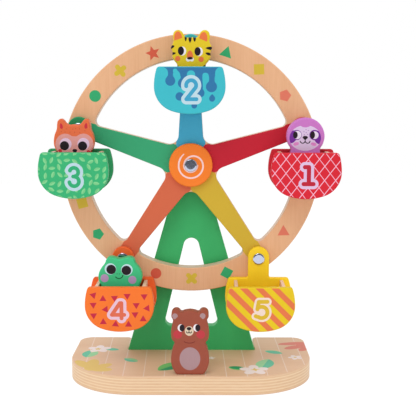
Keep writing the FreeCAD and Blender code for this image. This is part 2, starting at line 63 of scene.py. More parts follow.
class Ink(Enum):
    """Paints, inks and bare materials, as red, green and blue from 0 to 255."""

    BLACK = (38, 28, 36)
    WHITE = (246, 238, 244)
    BIRCH = (238, 187, 146)
    BIRCH_DEEP = (226, 171, 128)
    BASE_FACE = (231, 195, 163)
    BASE_FACE_DEEP = (221, 181, 146)
    PLY_LIGHT = (245, 216, 181)
    PLY_DARK = (228, 186, 145)
    PLY_GLUE = (214, 170, 128)
    PALE_PLY = (232, 208, 186)
    PALE_PLY_DARK = (216, 184, 156)
    INNER_WOOD = (248, 212, 187)
    INNER_WOOD_DEEP = (240, 198, 170)
    TOWER = (63, 184, 109)
    HUB = (250, 130, 43)
    SPIRAL = (252, 213, 211)
    SPOKE_RED = (202, 31, 52)
    SPOKE_BLUE = (69, 175, 212)
    SPOKE_GREEN = (57, 168, 117)
    SPOKE_ORANGE = (217, 107, 73)
    SPOKE_YELLOW = (212, 178, 54)
    PLANK_LINE = (238, 216, 204)
    RED = (219, 35, 52)
    # painted shade: the front's red, darkened for the back panel, which sits in shade behind the front
    RED_WITH_PAINTED_SHADE = (203, 34, 50)
    LATTICE = (250, 192, 216)
    CRIMSON = (192, 34, 57)
    LILAC_RIM = (224, 192, 224)
    CYAN = (62, 188, 201)
    DRIP_BLUE = (48, 118, 168)
    NUMBER_BLUE = (63, 162, 200)
    PALE_RIM = (190, 217, 228)
    GREEN = (58, 181, 118)
    # painted shade: the front's green, darkened for the back panel, which sits in shade behind the front
    GREEN_WITH_PAINTED_SHADE = (44, 152, 96)
    NUMBER_GREEN = (49, 175, 118)
    LEAF = (134, 213, 147)
    LEAF_SHADE = (122, 200, 136)
    ORANGE = (250, 122, 46)
    # painted shade: the front's orange, darkened for the back panel, which sits in shade behind the front
    ORANGE_WITH_PAINTED_SHADE = (243, 102, 46)
    TRIANGLE = (200, 40, 67)
    NUMBER_CORAL = (226, 110, 82)
    PINK_RIM = (236, 198, 216)
    YELLOW = (235, 202, 32)
    # painted light: the front's yellow, lightened for the back panel to make up for the shade that falls on
    # it
    YELLOW_WITH_PAINTED_LIGHT = (255, 215, 38)
    STRIPE = (232, 122, 75)
    NUMBER_GOLD = (224, 186, 52)
    ROSE_RIM = (246, 222, 208)
    VIOLET = (204, 121, 199)
    PALE_LILAC = (222, 200, 232)
    PURPLE = (122, 44, 160)
    SLOTH_EYE = (236, 224, 244)
    SLOTH_CHEEK = (226, 140, 206)
    SLOTH_SPECK = (150, 112, 178)
    TIGER_YELLOW = (230, 200, 35)
    TIGER_BELLY = (244, 230, 150)
    TIGER_ORANGE = (236, 120, 66)
    FOX_ORANGE = (230, 110, 66)
    FOX_PINK = (228, 156, 150)
    FOX_LILAC = (232, 196, 222)
    FOX_RED = (206, 50, 62)
    FOX_SPECK = (198, 84, 54)
    FROG_GREEN = (68, 200, 136)
    FROG_EYE = (200, 232, 240)
    FROG_CHEEK = (188, 156, 196)
    FROG_LINE = (20, 84, 48)
    BEAR_BROWN = (160, 81, 62)
    BEAR_BELLY = (176, 142, 146)
    BEAR_CHEEK = (196, 62, 70)
    BEAR_MUZZLE = (226, 204, 178)
    BEAR_LINE = (124, 52, 44)
    PRINT_RED = (216, 94, 70)
    PRINT_CORAL = (226, 122, 98)
    PRINT_GREEN = (52, 172, 112)
    PRINT_YELLOW = (214, 184, 60)
    PRINT_TEAL = (92, 194, 158)
    PRINT_DARK_GREEN = (44, 156, 102)
    PRINT_LIGHT_GREEN = (150, 212, 156)
    PRINT_LEAF = (118, 198, 112)
    BLOSSOM_YELLOW = (226, 194, 104)
    CORAL_PETAL = (220, 124, 106)
    FLOWER_WHITE = (240, 226, 224)
    CHROME = (198, 204, 225)
    ZINC = (176, 178, 182)
    BRASS = (214, 170, 84)

    @property
    def linear(self) -> tuple[float, float, float, float]:
        """The colour as linear light with alpha, the way shader sockets hold it."""
        parts = [value / 255 for value in self.value]
        return (*[v / 12.92 if v <= 0.04045 else ((v + 0.055) / 1.055) ** 2.4 for v in parts], 1.0)


# Shader sums

Value = Union["Signal", float, int, tuple]


class Signal:
    """One shader socket that can be used in Python sums."""

    def __init__(self, bench: "Bench", socket: bpy.types.NodeSocket) -> None:
        """Keeps the socket and the bench that its sums are built on."""
        self.bench = bench
        self.socket = socket

    def __add__(self, other: Value) -> "Signal":
        """This plus other."""
        return self.bench.sum_of("ADD", self, other)

    __radd__ = __add__

    def __sub__(self, other: Value) -> "Signal":
        """This minus other."""
        return self.bench.sum_of("SUBTRACT", self, other)

    def __rsub__(self, other: Value) -> "Signal":
        """Other minus this."""
        return self.bench.sum_of("SUBTRACT", other, self)

    def __mul__(self, other: Value) -> "Signal":
        """This times other."""
        return self.bench.sum_of("MULTIPLY", self, other)

    __rmul__ = __mul__

    def __truediv__(self, other: Value) -> "Signal":
        """This divided by other."""
        return self.bench.sum_of("DIVIDE", self, other)

    def __neg__(self) -> "Signal":
        """This with its sign turned."""
        return self * -1.0

    def __abs__(self) -> "Signal":
        """This without its sign."""
        return self.bench.sum_of("ABSOLUTE", self)

    def output(self, name: str) -> "Signal":
        """Another output of the node that this signal comes from."""
        return Signal(self.bench, self.socket.node.outputs[name])


def is_vector(value: Value) -> bool:
    """True for a tuple of numbers or a socket that carries a vector."""
    return isinstance(value, tuple) or (isinstance(value, Signal) and value.socket.type == "VECTOR")


class Bench:
    """The node tree of one material or world, and the few calls that build it."""

    def __init__(self, owner: bpy.types.ID) -> None:
        """Empties the owner's node tree.

        Args:
            owner: A material or a world.
        """
        owner.use_nodes = True
        self.owner = owner
        self.tree = owner.node_tree
        self.tree.nodes.clear()
        self.point_mm = None

    def node(self, kind: str, settings: dict | None = None, inputs: dict | None = None,
             output: Union[str, int] = 0) -> Signal:
        """Adds one node.

        Args:
            kind: The node's type.
            settings: Properties to set first; "stops" holds a ramp's (place, colour) pairs.
            inputs: Values or signals by socket name or number.
            output: The output to return.

        Returns:
            The chosen output as a signal.
        """
        made = self.tree.nodes.new(kind)
        for key, value in (settings or {}).items():
            if key == "stops":
                self.set_stops(made.color_ramp, value)
            else:
                setattr(made, key, value)
        for key, value in (inputs or {}).items():
            if isinstance(value, Signal):
                self.tree.links.new(value.socket, made.inputs[key])
            else:
                made.inputs[key].default_value = value
        return Signal(self, made.outputs[output]) if made.outputs else Signal(self, made.inputs[0])

    @staticmethod
    def set_stops(ramp: bpy.types.ColorRamp, stops: list) -> None:
        """Puts (place, colour) pairs into a ramp, with hard steps between them."""
        ramp.interpolation = "CONSTANT"
        while len(ramp.elements) < len(stops):
            ramp.elements.new(1.0)
        for element, (place, colour) in zip(ramp.elements, stops):
            element.position = place
            element.color = colour

    def sum_of(self, operation: str, *values: Value) -> Signal:
        """One Math node, or a Vector Math node where any value is a vector.

        Args:
            operation: The node's operation.
            values: Signals, numbers or tuples.

        Returns:
            The result.
        """
        if any(is_vector(value) for value in values):
            spread = [(v, v, v) if isinstance(v, (int, float)) else v for v in values]
            inputs = dict(enumerate(spread))
            reads_number = operation in ("LENGTH", "DOT_PRODUCT", "DISTANCE")
            return self.node("ShaderNodeVectorMath", {"operation": operation}, inputs,
                             "Value" if reads_number else "Vector")
        return self.node("ShaderNodeMath", {"operation": operation}, dict(enumerate(values)))

    def point(self) -> Signal:
        """The surface point in the object's own frame, in millimetres."""
        if self.point_mm is None:
            self.point_mm = self.node("ShaderNodeTexCoord", output="Object") / MILLIMETRE
        return self.point_mm

    def parts(self, vector: Signal) -> tuple[Signal, Signal, Signal]:
        """The x, y and z of a vector."""
        x = self.node("ShaderNodeSeparateXYZ", inputs={0: vector})
        return x, x.output("Y"), x.output("Z")

    def joined(self, x: Value, y: Value, z: Value = 0.0) -> Signal:
        """A vector from three numbers."""
        return self.node("ShaderNodeCombineXYZ", inputs={0: x, 1: y, 2: z})

    def inside(self, distance: Signal, blur: float = PRINT_BLUR) -> Signal:
        """1 where the distance is negative and 0 where it is positive, fading over blur."""
        return self.node("ShaderNodeMath", {"operation": "MULTIPLY_ADD", "use_clamp": True},
                         {0: distance, 1: -1.0 / blur, 2: 0.5})

    def blend(self, mask: Value, below: Value, above: Value) -> Signal:
        """Colour below where the mask is 0 and above where it is 1."""
        return self.node("ShaderNodeMix", {"data_type": "RGBA"}, {0: mask, 6: below, 7: above}, 2)

    def grey(self, tone: Signal) -> Signal:
        """The colour whose three parts are the tone."""
        return self.joined(tone, tone, tone)

    def shaded(self, colour: Value, tone: Signal) -> Signal:
        """A colour times a tone."""
        return self.node("ShaderNodeMix", {"data_type": "RGBA", "blend_type": "MULTIPLY"},
                         {0: 1.0, 6: colour, 7: self.grey(tone)}, 2)

    def capped_sum(self, one: Value, other: Value) -> Signal:
        """The sum of two values, held between 0 and 1."""
        return self.node("ShaderNodeMath", {"operation": "ADD", "use_clamp": True}, {0: one, 1: other})

    def noise(self, point: Signal, scale: float, detail: float = 2.0) -> Signal:
        """Smooth noise about 0.5, with scale in bumps per unit of the point."""
        return self.node("ShaderNodeTexNoise", {"noise_dimensions": "3D"},
                         {"Vector": point, "Scale": scale, "Detail": detail, "Roughness": 0.5})

    def bump(self, height: Signal, depth_mm: float, normal: Signal | None = None) -> Signal:
        """The normal, or the surface's own, bent by a height from 0 to 1 that stands for depth_mm."""
        inputs = {"Strength": 1.0, "Distance": depth_mm * MILLIMETRE, "Height": height}
        if normal:
            inputs["Normal"] = normal
        return self.node("ShaderNodeBump", inputs=inputs, output="Normal")

    def surface(self, sockets: dict) -> bpy.types.Material:
        """Ends the tree in a Principled surface.

        Args:
            sockets: Values or signals by the shader's socket names.

        Returns:
            The finished material.
        """
        shader = self.node("ShaderNodeBsdfPrincipled", inputs=sockets)
        self.node("ShaderNodeOutputMaterial", inputs={"Surface": shader})
        return self.owner


# Printed shapes

class Shape:
    """A flat shape on a canvas in millimetres."""

    def distance(self, bench: Bench, canvas: Signal) -> Signal:
        """How far a canvas point lies outside the shape, negative inside."""
        raise NotImplementedError


def moved(bench: Bench, canvas: Signal, x: float, z: float, turn: float = 0.0,
          scale: tuple = (1.0, 1.0, 1.0)) -> Signal:
    """The canvas as seen from a shape's own centre, turn and scale.

    Args:
        bench: Where the nodes go.
        canvas: The point on the canvas.
        x: The shape's centre to the right.
        z: The shape's centre upwards.
        turn: Degrees, counter-clockwise.
        scale: Lengths that become 1 along the shape's own axes.

    Returns:
        The point in the shape's own axes.
    """
    return bench.node("ShaderNodeMapping", {"vector_type": "TEXTURE"},
                      {"Vector": canvas, "Location": (x, z, 0.0), "Scale": scale,
                       "Rotation": (0.0, 0.0, math.radians(turn))})


@dataclass(frozen=True)
class Oval(Shape):
    """An ellipse, by its centre, half width and half height."""

    x: float
    z: float
    half_width: float
    half_height: float = 0.0
    turn: float = 0.0

    def distance(self, bench: Bench, canvas: Signal) -> Signal:
        """The point's length in half widths, less 1, times the smaller half."""
        height = self.half_height or self.half_width
        local = moved(bench, canvas, self.x, self.z, self.turn, (self.half_width, height, 1.0))
        return (bench.sum_of("LENGTH", local) - 1.0) * min(self.half_width, height)


@dataclass(frozen=True)
class Bar(Shape):
    """A straight line with round ends, between two points."""

    start: tuple[float, float]
    end: tuple[float, float]
    half_line: float

    def distance(self, bench: Bench, canvas: Signal) -> Signal:
        """The distance to the middle line, less half the line's width."""
        run = (self.end[0] - self.start[0], self.end[1] - self.start[1])
        centre = (self.start[0] + run[0] / 2, self.start[1] + run[1] / 2)
        local = moved(bench, canvas, *centre, math.degrees(math.atan2(run[1], run[0])))
        past_end = abs(local) - (math.hypot(*run) / 2, 0.0, 0.0)
        return bench.sum_of("LENGTH", bench.sum_of("MAXIMUM", past_end, 0.0)) - self.half_line


@dataclass(frozen=True)
class Block(Shape):
    """A rectangle with sharp corners."""

    x: float
    z: float
    half_width: float
    half_height: float
    turn: float = 0.0

    def distance(self, bench: Bench, canvas: Signal) -> Signal:
        """The larger of how far the point lies past the sides and past the ends."""
        local = abs(moved(bench, canvas, self.x, self.z, self.turn))
        across, along, _ = bench.parts(local - (self.half_width, self.half_height, 0.0))
        return bench.sum_of("MAXIMUM", across, along)


@dataclass(frozen=True)
class Bow(Shape):
    """A line along part of a circle, with round ends; degrees run counter-clockwise."""

    x: float
    z: float
    radius: float
    start: float
    sweep: float
    half_line: float

    def distance(self, bench: Bench, canvas: Signal) -> Signal:
        """The distance to the nearest point of the line.

        Seen from the circle's centre with the bow's middle to the right, the nearest point lies at
        the canvas point's own angle, held within half the sweep.
        """
        local = moved(bench, canvas, self.x, self.z, self.start + self.sweep / 2)
        across, up, _ = bench.parts(local)
        half = math.radians(self.sweep / 2)
        turned = bench.sum_of("ARCTAN2", up, across)
        angle = bench.node("ShaderNodeClamp", inputs={0: turned, 1: -half, 2: half})
        nearest = bench.joined(bench.sum_of("COSINE", angle), bench.sum_of("SINE", angle)) * self.radius
        return bench.sum_of("DISTANCE", local, nearest) - self.half_line


def leaf_distance(bench: Bench, local: Signal, half_length: float, half_width: float) -> Signal:
    """The distance to a leaf along x: to the far side's circle centre, less that circle's radius."""
    radius = (half_length ** 2 + half_width ** 2) / (2 * half_width)
    return bench.sum_of("LENGTH", abs(local) + (0.0, radius - half_width, 0.0)) - radius


@dataclass(frozen=True)
class Leaf(Shape):
    """A pointed leaf, where two equal circles overlap; it lies along its turn."""

    x: float
    z: float
    half_length: float
    half_width: float
    turn: float = 0.0

    def distance(self, bench: Bench, canvas: Signal) -> Signal:
        """The distance to a leaf in its own axes."""
        local = moved(bench, canvas, self.x, self.z, self.turn)
        return leaf_distance(bench, local, self.half_length, self.half_width)

    def half(self, side: float) -> Shape:
        """One long half of the leaf; side is LEFT_HALF or RIGHT_HALF."""
        return Common((self, Side(self.x, self.z, self.turn + side)))


@dataclass(frozen=True)
class Badge(Shape):
    """A regular shape with corners, or a star where a waist is given."""

    x: float
    z: float
    radius: float
    corners: int
    turn: float = 90.0
    waist: float = 0.0

    def distance(self, bench: Bench, canvas: Signal) -> Signal:
        """The distance to one edge, after the plane is folded about the corners.

        The angle is folded back and forth between a corner and the middle of an edge. There the edge
        is a straight line from the corner to the waist point, given by its normal's angle and its
        distance from the centre.
        """
        fold = math.pi / self.corners
        waist = self.waist or self.radius * math.cos(fold)
        dip = (waist * math.cos(fold), waist * math.sin(fold))
        normal = math.atan2(self.radius - dip[0], dip[1])
        edge = self.radius * math.cos(normal)
        local = moved(bench, canvas, self.x, self.z, self.turn)
        across, up, _ = bench.parts(local)
        angle = bench.sum_of("PINGPONG", bench.sum_of("ARCTAN2", up, across), fold)
        return bench.sum_of("LENGTH", local) * bench.sum_of("COSINE", angle - normal) - edge


@dataclass(frozen=True)
class Side(Shape):
    """Everything behind a straight line that faces along its turn."""

    x: float
    z: float
    turn: float

    def distance(self, bench: Bench, canvas: Signal) -> Signal:
        """How far the point lies ahead of the line."""
        ahead = (math.cos(math.radians(self.turn)), math.sin(math.radians(self.turn)), 0.0)
        return bench.sum_of("DOT_PRODUCT", canvas, ahead) - (self.x * ahead[0] + self.z * ahead[1])


@dataclass(frozen=True)
class Joined(Shape):
    """Several shapes as one; with melt they run into each other like paint."""

    shapes: tuple[Shape, ...]
    melt: float = 0.0

    def distance(self, bench: Bench, canvas: Signal) -> Signal:
        """The least of the distances, smoothed over the melt length."""
        found = [shape.distance(bench, canvas) for shape in self.shapes]
        if self.melt:
            return reduce(lambda one, other: bench.sum_of("SMOOTH_MIN", one, other, self.melt), found)
        return reduce(lambda one, other: bench.sum_of("MINIMUM", one, other), found)


@dataclass(frozen=True)
class Common(Shape):
    """Only what lies in all of the shapes."""

    shapes: tuple[Shape, ...]

    def distance(self, bench: Bench, canvas: Signal) -> Signal:
        """The largest of the distances."""
        found = [shape.distance(bench, canvas) for shape in self.shapes]
        return reduce(lambda one, other: bench.sum_of("MAXIMUM", one, other), found)


@dataclass(frozen=True)
class Without(Shape):
    """A shape with another cut away."""

    shape: Shape
    cut: Shape

    def distance(self, bench: Bench, canvas: Signal) -> Signal:
        """The larger of the shape's distance and the cut's distance turned over."""
        return bench.sum_of("MAXIMUM", self.shape.distance(bench, canvas), -self.cut.distance(bench, canvas))


@dataclass(frozen=True)
class Stripes(Shape):
    """Endless parallel stripes, by their pitch along the canvas's x and z and the place of one."""

    x: float
    z: float
    pitch_x: float
    pitch_z: float
    half_line: float

    def distance(self, bench: Bench, canvas: Signal) -> Signal:
        """The distance to the nearest stripe's middle, less half its width.

        The sum of x over its pitch and z over its pitch counts the stripes; its distance to the next
        whole number, times the spacing square to the stripes, is in millimetres.
        """
        spacing = 1 / math.hypot(1 / self.pitch_x, 1 / self.pitch_z)
        count = bench.sum_of("DOT_PRODUCT", canvas - (self.x, self.z, 0.0),
                             (1 / self.pitch_x, 1 / self.pitch_z, 0.0))
        return abs(bench.sum_of("WRAP", count, 0.5, -0.5)) * spacing - self.half_line


@dataclass(frozen=True)
class LeafScatter(Shape):
    """Small leaves strewn evenly, each turned its own way; halved keeps one long side of each."""

    spacing: float
    half_length: float
    half_width: float
    looseness: float
    halved: bool = False

    def distance(self, bench: Bench, canvas: Signal) -> Signal:
        """The distance to the leaf of the cell that the point is in.

        A cell pattern gives every point its cell's centre and a colour; the colour's red part turns
        the leaf, and the leaf is two overlapping circles about that centre. A halved leaf ends at
        its long axis.
        """
        inputs = {"Vector": canvas, "Scale": 1.0 / self.spacing, "Randomness": self.looseness}
        cells = bench.node("ShaderNodeTexVoronoi", {"voronoi_dimensions": "2D"}, inputs, "Color")
        centre = cells.output("Position")
        spin, _, _ = bench.parts(bench.node("ShaderNodeVectorMath", {"operation": "MULTIPLY"},
                                            {0: cells, 1: (2 * math.pi, 1.0, 1.0)}, "Vector"))
        from_centre = (canvas - centre) * (1.0, 1.0, 0.0)
        turned = bench.node("ShaderNodeVectorRotate", {"rotation_type": "Z_AXIS"},
                            {"Vector": from_centre, "Angle": spin})
        whole = leaf_distance(bench, turned, self.half_length, self.half_width)
        return bench.sum_of("MAXIMUM", whole, bench.parts(turned)[1]) if self.halved else whole


@dataclass(frozen=True)
class Print:
    """One printed shape and its ink; grow widens the shape all round."""

    shape: Shape
    ink: Ink
    grow: float = 0.0


def spots(ink: Ink, *shapes: Shape, melt: float = 0.0) -> Print:
    """Several shapes as one print."""
    return Print(Joined(shapes, melt), ink)


def dots(ink: Ink, places: tuple, half_width: float, half_height: float = 0.0) -> Print:
    """Equal upright ovals at (x, z) places as one print."""
    return spots(ink, *(Oval(x, z, half_width, half_height) for x, z in places))


def flower(x: float, z: float, reach: float, turn: float) -> Print:
    """Round white petals about a centre.

    Args:
        x: The centre to the right.
        z: The centre upwards.
        reach: From the centre to a petal's tip.
        turn: Degrees of the first petal.

    Returns:
        The petals as one print.
    """
    petals = []
    for number in range(PETALS):
        angle = math.radians(turn + 360 * number / PETALS)
        place = (x + PETAL_PLACE * reach * math.cos(angle), z + PETAL_PLACE * reach * math.sin(angle))
        petals.append(Oval(*place, PETAL_LENGTH * reach, PETAL_WIDTH * reach, math.degrees(angle)))
    return spots(Ink.FLOWER_WHITE, *petals)


# Canvases

@dataclass(frozen=True)
class Canvas:
    """The flat side of a board that is printed: its zero point and how deep the ink reaches.

    The face is the place of the flat front along the board's thickness, in millimetres. Ink holds
    from the face to reach millimetres behind it, so a rounded edge stays unprinted or takes some ink.
    """

    x: float
    z: float
    face: float
    reach: float = PRINT_REACH
    lies_flat: bool = False

    def point(self, bench: Bench) -> Signal:
        """The canvas point: x to the right and z, or y on a board that lies flat, upwards.

        Args:
            bench: Where the nodes go.

        Returns:
            The point with its third part 0.
        """
        if self.lies_flat:
            return bench.point() * (1.0, 1.0, 0.0) - (self.x, self.z, 0.0)
        return bench.node("ShaderNodeMapping", {"vector_type": "POINT"},
                          {"Vector": bench.point(), "Scale": (1.0, 0.0, 1.0),
                           "Rotation": (-math.pi / 2, 0.0, 0.0), "Location": (-self.x, -self.z, 0.0)})

    def flat_front(self, bench: Bench) -> Signal:
        """1 on the printed side and 0 on the rest of the board."""
        _, y, z = bench.parts(bench.point())
        behind = self.face - z if self.lies_flat else y - self.face
        return bench.inside(behind - self.reach)


def print_over(bench: Bench, colour: Value, canvas: Canvas, prints: tuple[Print, ...]) -> Value:
    """Lays prints over a colour, one after the other.

    Args:
        bench: Where the nodes go.
        colour: What is under the prints.
        canvas: The printed side.
        prints: From the lowest to the topmost.

    Returns:
        The printed colour.
    """
    if not prints:
        return colour
    point = canvas.point(bench)
    front = canvas.flat_front(bench)
    for item in prints:
        distance = item.shape.distance(bench, point)
        if item.grow:
            distance = distance - item.grow
        colour = bench.blend(bench.inside(distance) * front, colour, item.ink.linear)
    return colour


# Finishes

class Grain(Enum):
    """Which way the wood's fibres run, as how quickly the grain changes per millimetre."""

    UPRIGHT = (0.9, 0.9, 0.035)
    ACROSS = (0.035, 0.9, 0.9)
    DEEP = (0.9, 0.035, 0.9)


def fibres(bench: Bench, grain: Grain, fineness: float = 1.0) -> Signal:
    """Fine streaks along the grain, about 0.5."""
    stretched = bench.point() * tuple(part * fineness for part in grain.value)
    return bench.noise(stretched, 1.0, 4.0)


class Finish:
    """The look of one kind of surface."""

    def material(self) -> bpy.types.Material:
        """Builds the finish."""
        raise NotImplementedError


@dataclass(frozen=True)
class PaintedBoard(Finish):
    """Matt paint on sanded wood, with the grain faintly raised under it, and prints on the front.

    Clouding and streaking are how much slow clouds and the grain change its brightness.
    """

    name: str
    paint: Ink
    canvas: Canvas | None = None
    prints: tuple[Print, ...] = ()
    grain: Grain = Grain.UPRIGHT
    roughness: float = 0.42
    clouding: float = 0.10
    streaking: float = 0.05

    def material(self) -> bpy.types.Material:
        """Builds the finish.

        Returns:
            The material.
        """
        bench = Bench(bpy.data.materials.new(self.name))
        cloud = bench.noise(bench.point(), 0.045, 2.0)
        grain = fibres(bench, self.grain)
        colour = self.paint.linear
        if self.canvas:
            colour = print_over(bench, colour, self.canvas, self.prints)
        unshaded = 1 - (self.clouding + self.streaking) / 2
        tinted = bench.shaded(colour, cloud * self.clouding + grain * self.streaking + unshaded)
        ripple = bench.noise(bench.point(), 1.6, 3.0)
        return bench.surface({"Base Color": tinted, "Roughness": grain * 0.12 + (self.roughness - 0.06),
                              "Specular IOR Level": PAINT_SHEEN,
                              "Normal": bench.bump(grain * 0.6 + ripple * 0.4, PAINT_RELIEF)})


@dataclass(frozen=True)
class Plies:
    """The layers of a plywood board along its thickness, in millimetres."""

    axis: int
    low: float
    thickness: float
    count: int
    light: Ink
    dark: Ink
    glue: Ink

    def colour(self, bench: Bench, face_colour: Value) -> Signal:
        """The face's colour on the outer layers, and light and dark layers between.

        The place in the thickness, bent a little by slow noise, is counted in layers. Each layer is
        light or dark by turns, glue lines are thin and darker, and fibres streak each layer along
        the edge.

        Args:
            bench: Where the nodes go.
            face_colour: The colour of both faces.

        Returns:
            The board's colour at every point.
        """
        depth = bench.parts(bench.point())[self.axis] - self.low
        wander = bench.noise(bench.point(), 0.03, 1.0) * 0.5 - 0.25
        layer = self.thickness / self.count
        place = (depth + wander) / layer
        parity = bench.sum_of("PINGPONG", bench.sum_of("FLOOR", place), 1.0)
        streaks = bench.noise(bench.point() * (0.12, 0.12, 1.4) if self.axis == 2
                              else bench.point() * (0.5, 1.4, 0.12), 1.0, 3.0)
        glue = bench.inside(abs(bench.sum_of("WRAP", place, 0.5, -0.5)) * layer - 0.10, 0.25)
        mixed = bench.blend(parity * 0.7 + (streaks - 0.5) * 1.1, self.light.linear, self.dark.linear)
        lined = bench.blend(glue * 0.4, mixed, self.glue.linear)
        from_face = bench.sum_of("MINIMUM", depth, self.thickness - depth)
        return bench.blend(bench.inside(from_face - 0.75 * layer, 0.3), lined, face_colour)


@dataclass(frozen=True)
class BarePly(Finish):
    """Clear-lacquered plywood with its layers on show, and prints on one face."""

    name: str
    face: Ink
    face_deep: Ink
    grain: Grain
    plies: Plies
    canvas: Canvas
    prints: tuple[Print, ...] = ()

    def face_colour(self, bench: Bench, streaks: Signal) -> Signal:
        """Fibres and broad pale and deep patches of the face's veneer."""
        broad = tuple(min(part * 0.12, 0.05) for part in self.grain.value)
        patches = bench.noise(bench.point() * broad, 1.0, 2.0)
        depth = (streaks - 0.5) * 1.1 + (patches - 0.5) * 1.2 + 0.45
        deep = bench.node("ShaderNodeClamp", inputs={0: depth})
        return bench.blend(deep, self.face.linear, self.face_deep.linear)

    def printed(self, bench: Bench, colour: Signal) -> Value:
        """The face with this board's prints."""
        return print_over(bench, colour, self.canvas, self.prints)

    def material(self) -> bpy.types.Material:
        """Builds the finish.

        Returns:
            The material.
        """
        bench = Bench(bpy.data.materials.new(self.name))
        streaks = fibres(bench, self.grain, 1.3)
        face = self.face_colour(bench, streaks)
        colour = self.printed(bench, self.plies.colour(bench, face))
        return bench.surface({"Base Color": colour, "Roughness": streaks * 0.16 + 0.38,
                              "Specular IOR Level": PAINT_SHEEN, "Normal": bench.bump(streaks, WOOD_RELIEF)})


@dataclass(frozen=True)
class WheelPly(BarePly):
    """The wheel's plywood, whose spokes are painted on the front, each in its own colour."""

    spoke_inks: tuple[Ink, ...] = ()
    first_spoke: float = 18.0
    half_at_hub: float = 13.9
    half_at_ring: float = 8.6
    hub_reach: float = 25.0
    ring_inner: float = 102.0
    paint_end: float = 119.0
    paint_reach: float = 0.7

    def printed(self, bench: Bench, colour: Signal) -> Value:
        """The prints on the ring and the painted spokes.

        The angle about the axle, folded back and forth between a spoke's middle and the gap's
        middle, gives how far a point lies along and across its nearest spoke. Paint covers what is
        nearer to the middle line than the spoke's half width there. The unfolded angle picks the
        colour from a stepped ramp.

        Args:
            bench: Where the nodes go.
            colour: The bare board.

        Returns:
            The colour with paint and prints.
        """
        colour = print_over(bench, colour, self.canvas, self.prints)
        point = self.canvas.point(bench)
        x, z, _ = bench.parts(point)
        count = len(self.spoke_inks)
        angle = bench.sum_of("ARCTAN2", z, x) - math.radians(self.first_spoke)
        folded = bench.sum_of("PINGPONG", angle, math.pi / count)
        reach = bench.sum_of("LENGTH", point)
        along = reach * bench.sum_of("COSINE", folded)
        across = reach * bench.sum_of("SINE", folded)
        narrowing = (self.half_at_ring - self.half_at_hub) / (self.ring_inner - self.hub_reach)
        half = (along - self.hub_reach) * narrowing + self.half_at_hub
        painted = bench.inside(bench.sum_of("MAXIMUM", across - half, along - self.paint_end))
        turns = bench.sum_of("FRACT", angle / (2 * math.pi) + (1.0 + 0.5 / count))
        stops = [(number / count, ink.linear) for number, ink in enumerate(self.spoke_inks)]
        inks = bench.node("ShaderNodeValToRGB", {"stops": stops}, {0: turns})
        painted_side = replace(self.canvas, reach=self.paint_reach).flat_front(bench)
        return bench.blend(painted * painted_side, colour, inks)


@dataclass(frozen=True)
class SideVeneer(Finish):
    """Thin bare boards inside the cabins: pale edges and fine straight grain."""

    name: str
    grain: Grain

    def material(self) -> bpy.types.Material:
        """Builds the finish.

        Returns:
            The material.
        """
        bench = Bench(bpy.data.materials.new(self.name))
        streaks = fibres(bench, self.grain, 1.6)
        colour = bench.blend(streaks, Ink.INNER_WOOD.linear, Ink.INNER_WOOD_DEEP.linear)
        return bench.surface({"Base Color": colour, "Roughness": streaks * 0.2 + 0.4,
                              "Specular IOR Level": PAINT_SHEEN, "Normal": bench.bump(streaks, WOOD_RELIEF)})


class Lustre(Enum):
    """How metal parts are finished: roughness, and the depth of their fine marks in millimetres."""

    POLISHED = (0.06, 0.0004)
    PLATED = (0.28, 0.004)
    TURNED = (0.22, 0.006)


@dataclass(frozen=True)
class Metal(Finish):
    """Metal with fine marks and slightly uneven gloss; a ground face is flat but for its rim."""

    name: str
    ink: Ink
    lustre: Lustre
    ground: bool = False
    rim_tilt: float = 0.7
    rim_sharpness: float = 8.0

    def face_normal(self, bench: Bench) -> Signal:
        """The normal of a head that faces along Y, laid flat within its rim.

        The sine of the normal's tilt from Y, as a share of the tilt at the rim, is raised to a high
        power; the normal's x and z parts shrink by that much.

        Args:
            bench: Where the nodes go.

        Returns:
            The normal.
        """
        normal = bench.node("ShaderNodeNewGeometry", output="Normal")
        tilt = bench.sum_of("LENGTH", normal * (1.0, 0.0, 1.0))
        keep = bench.sum_of("POWER", bench.sum_of("MINIMUM", tilt / self.rim_tilt, 1.0), self.rim_sharpness)
        return bench.node("ShaderNodeVectorMath", {"operation": "NORMALIZE"},
                          {0: normal * bench.joined(keep, 1.0, keep)})

    def material(self) -> bpy.types.Material:
        """Builds the finish.

        Returns:
            The material.
        """
        bench = Bench(bpy.data.materials.new(self.name))
        roughness, depth = self.lustre.value
        marks = bench.noise(bench.point() * (2.0, 14.0, 2.0), 1.0, 3.0)
        haze = bench.noise(bench.point(), 0.4, 2.0)
        colour = bench.shaded(self.ink.linear, haze * 0.08 + 0.94)
        normal = self.face_normal(bench) if self.ground else None
        return bench.surface({"Base Color": colour, "Metallic": 1.0, "Roughness": haze * 0.06 + roughness,
                              "Normal": bench.bump(marks, depth, normal)})


def dress(finish: Finish, *nodes: str) -> None:
    """Gives CAD nodes one finish and logs each.

    Args:
        finish: What every slot of their objects gets.
        nodes: The nodes' names.
    """
    material = finish.material()
    for node in nodes:
        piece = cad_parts[node]
        if not piece.material_slots:
            piece.data.materials.append(material)
        for place in piece.material_slots:
            place.material = material
        log.info("%s is finished with %s", node, material.name)


def box_mm(node: str) -> tuple[Vector, Vector]:
    """The lowest and highest corner of a CAD node in millimetres."""
    low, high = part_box(node)
    return low / MILLIMETRE, high / MILLIMETRE


def front_canvas(node: str, shift: tuple[float, float], reach: float = PRINT_REACH) -> Canvas:
    """An upright board's front, with its zero point at the middle of the top edge, moved by shift."""
    low, high = box_mm(node)
    return Canvas((low.x + high.x) / 2 + shift[0], high.z + shift[1], low.y, reach)


# Stand

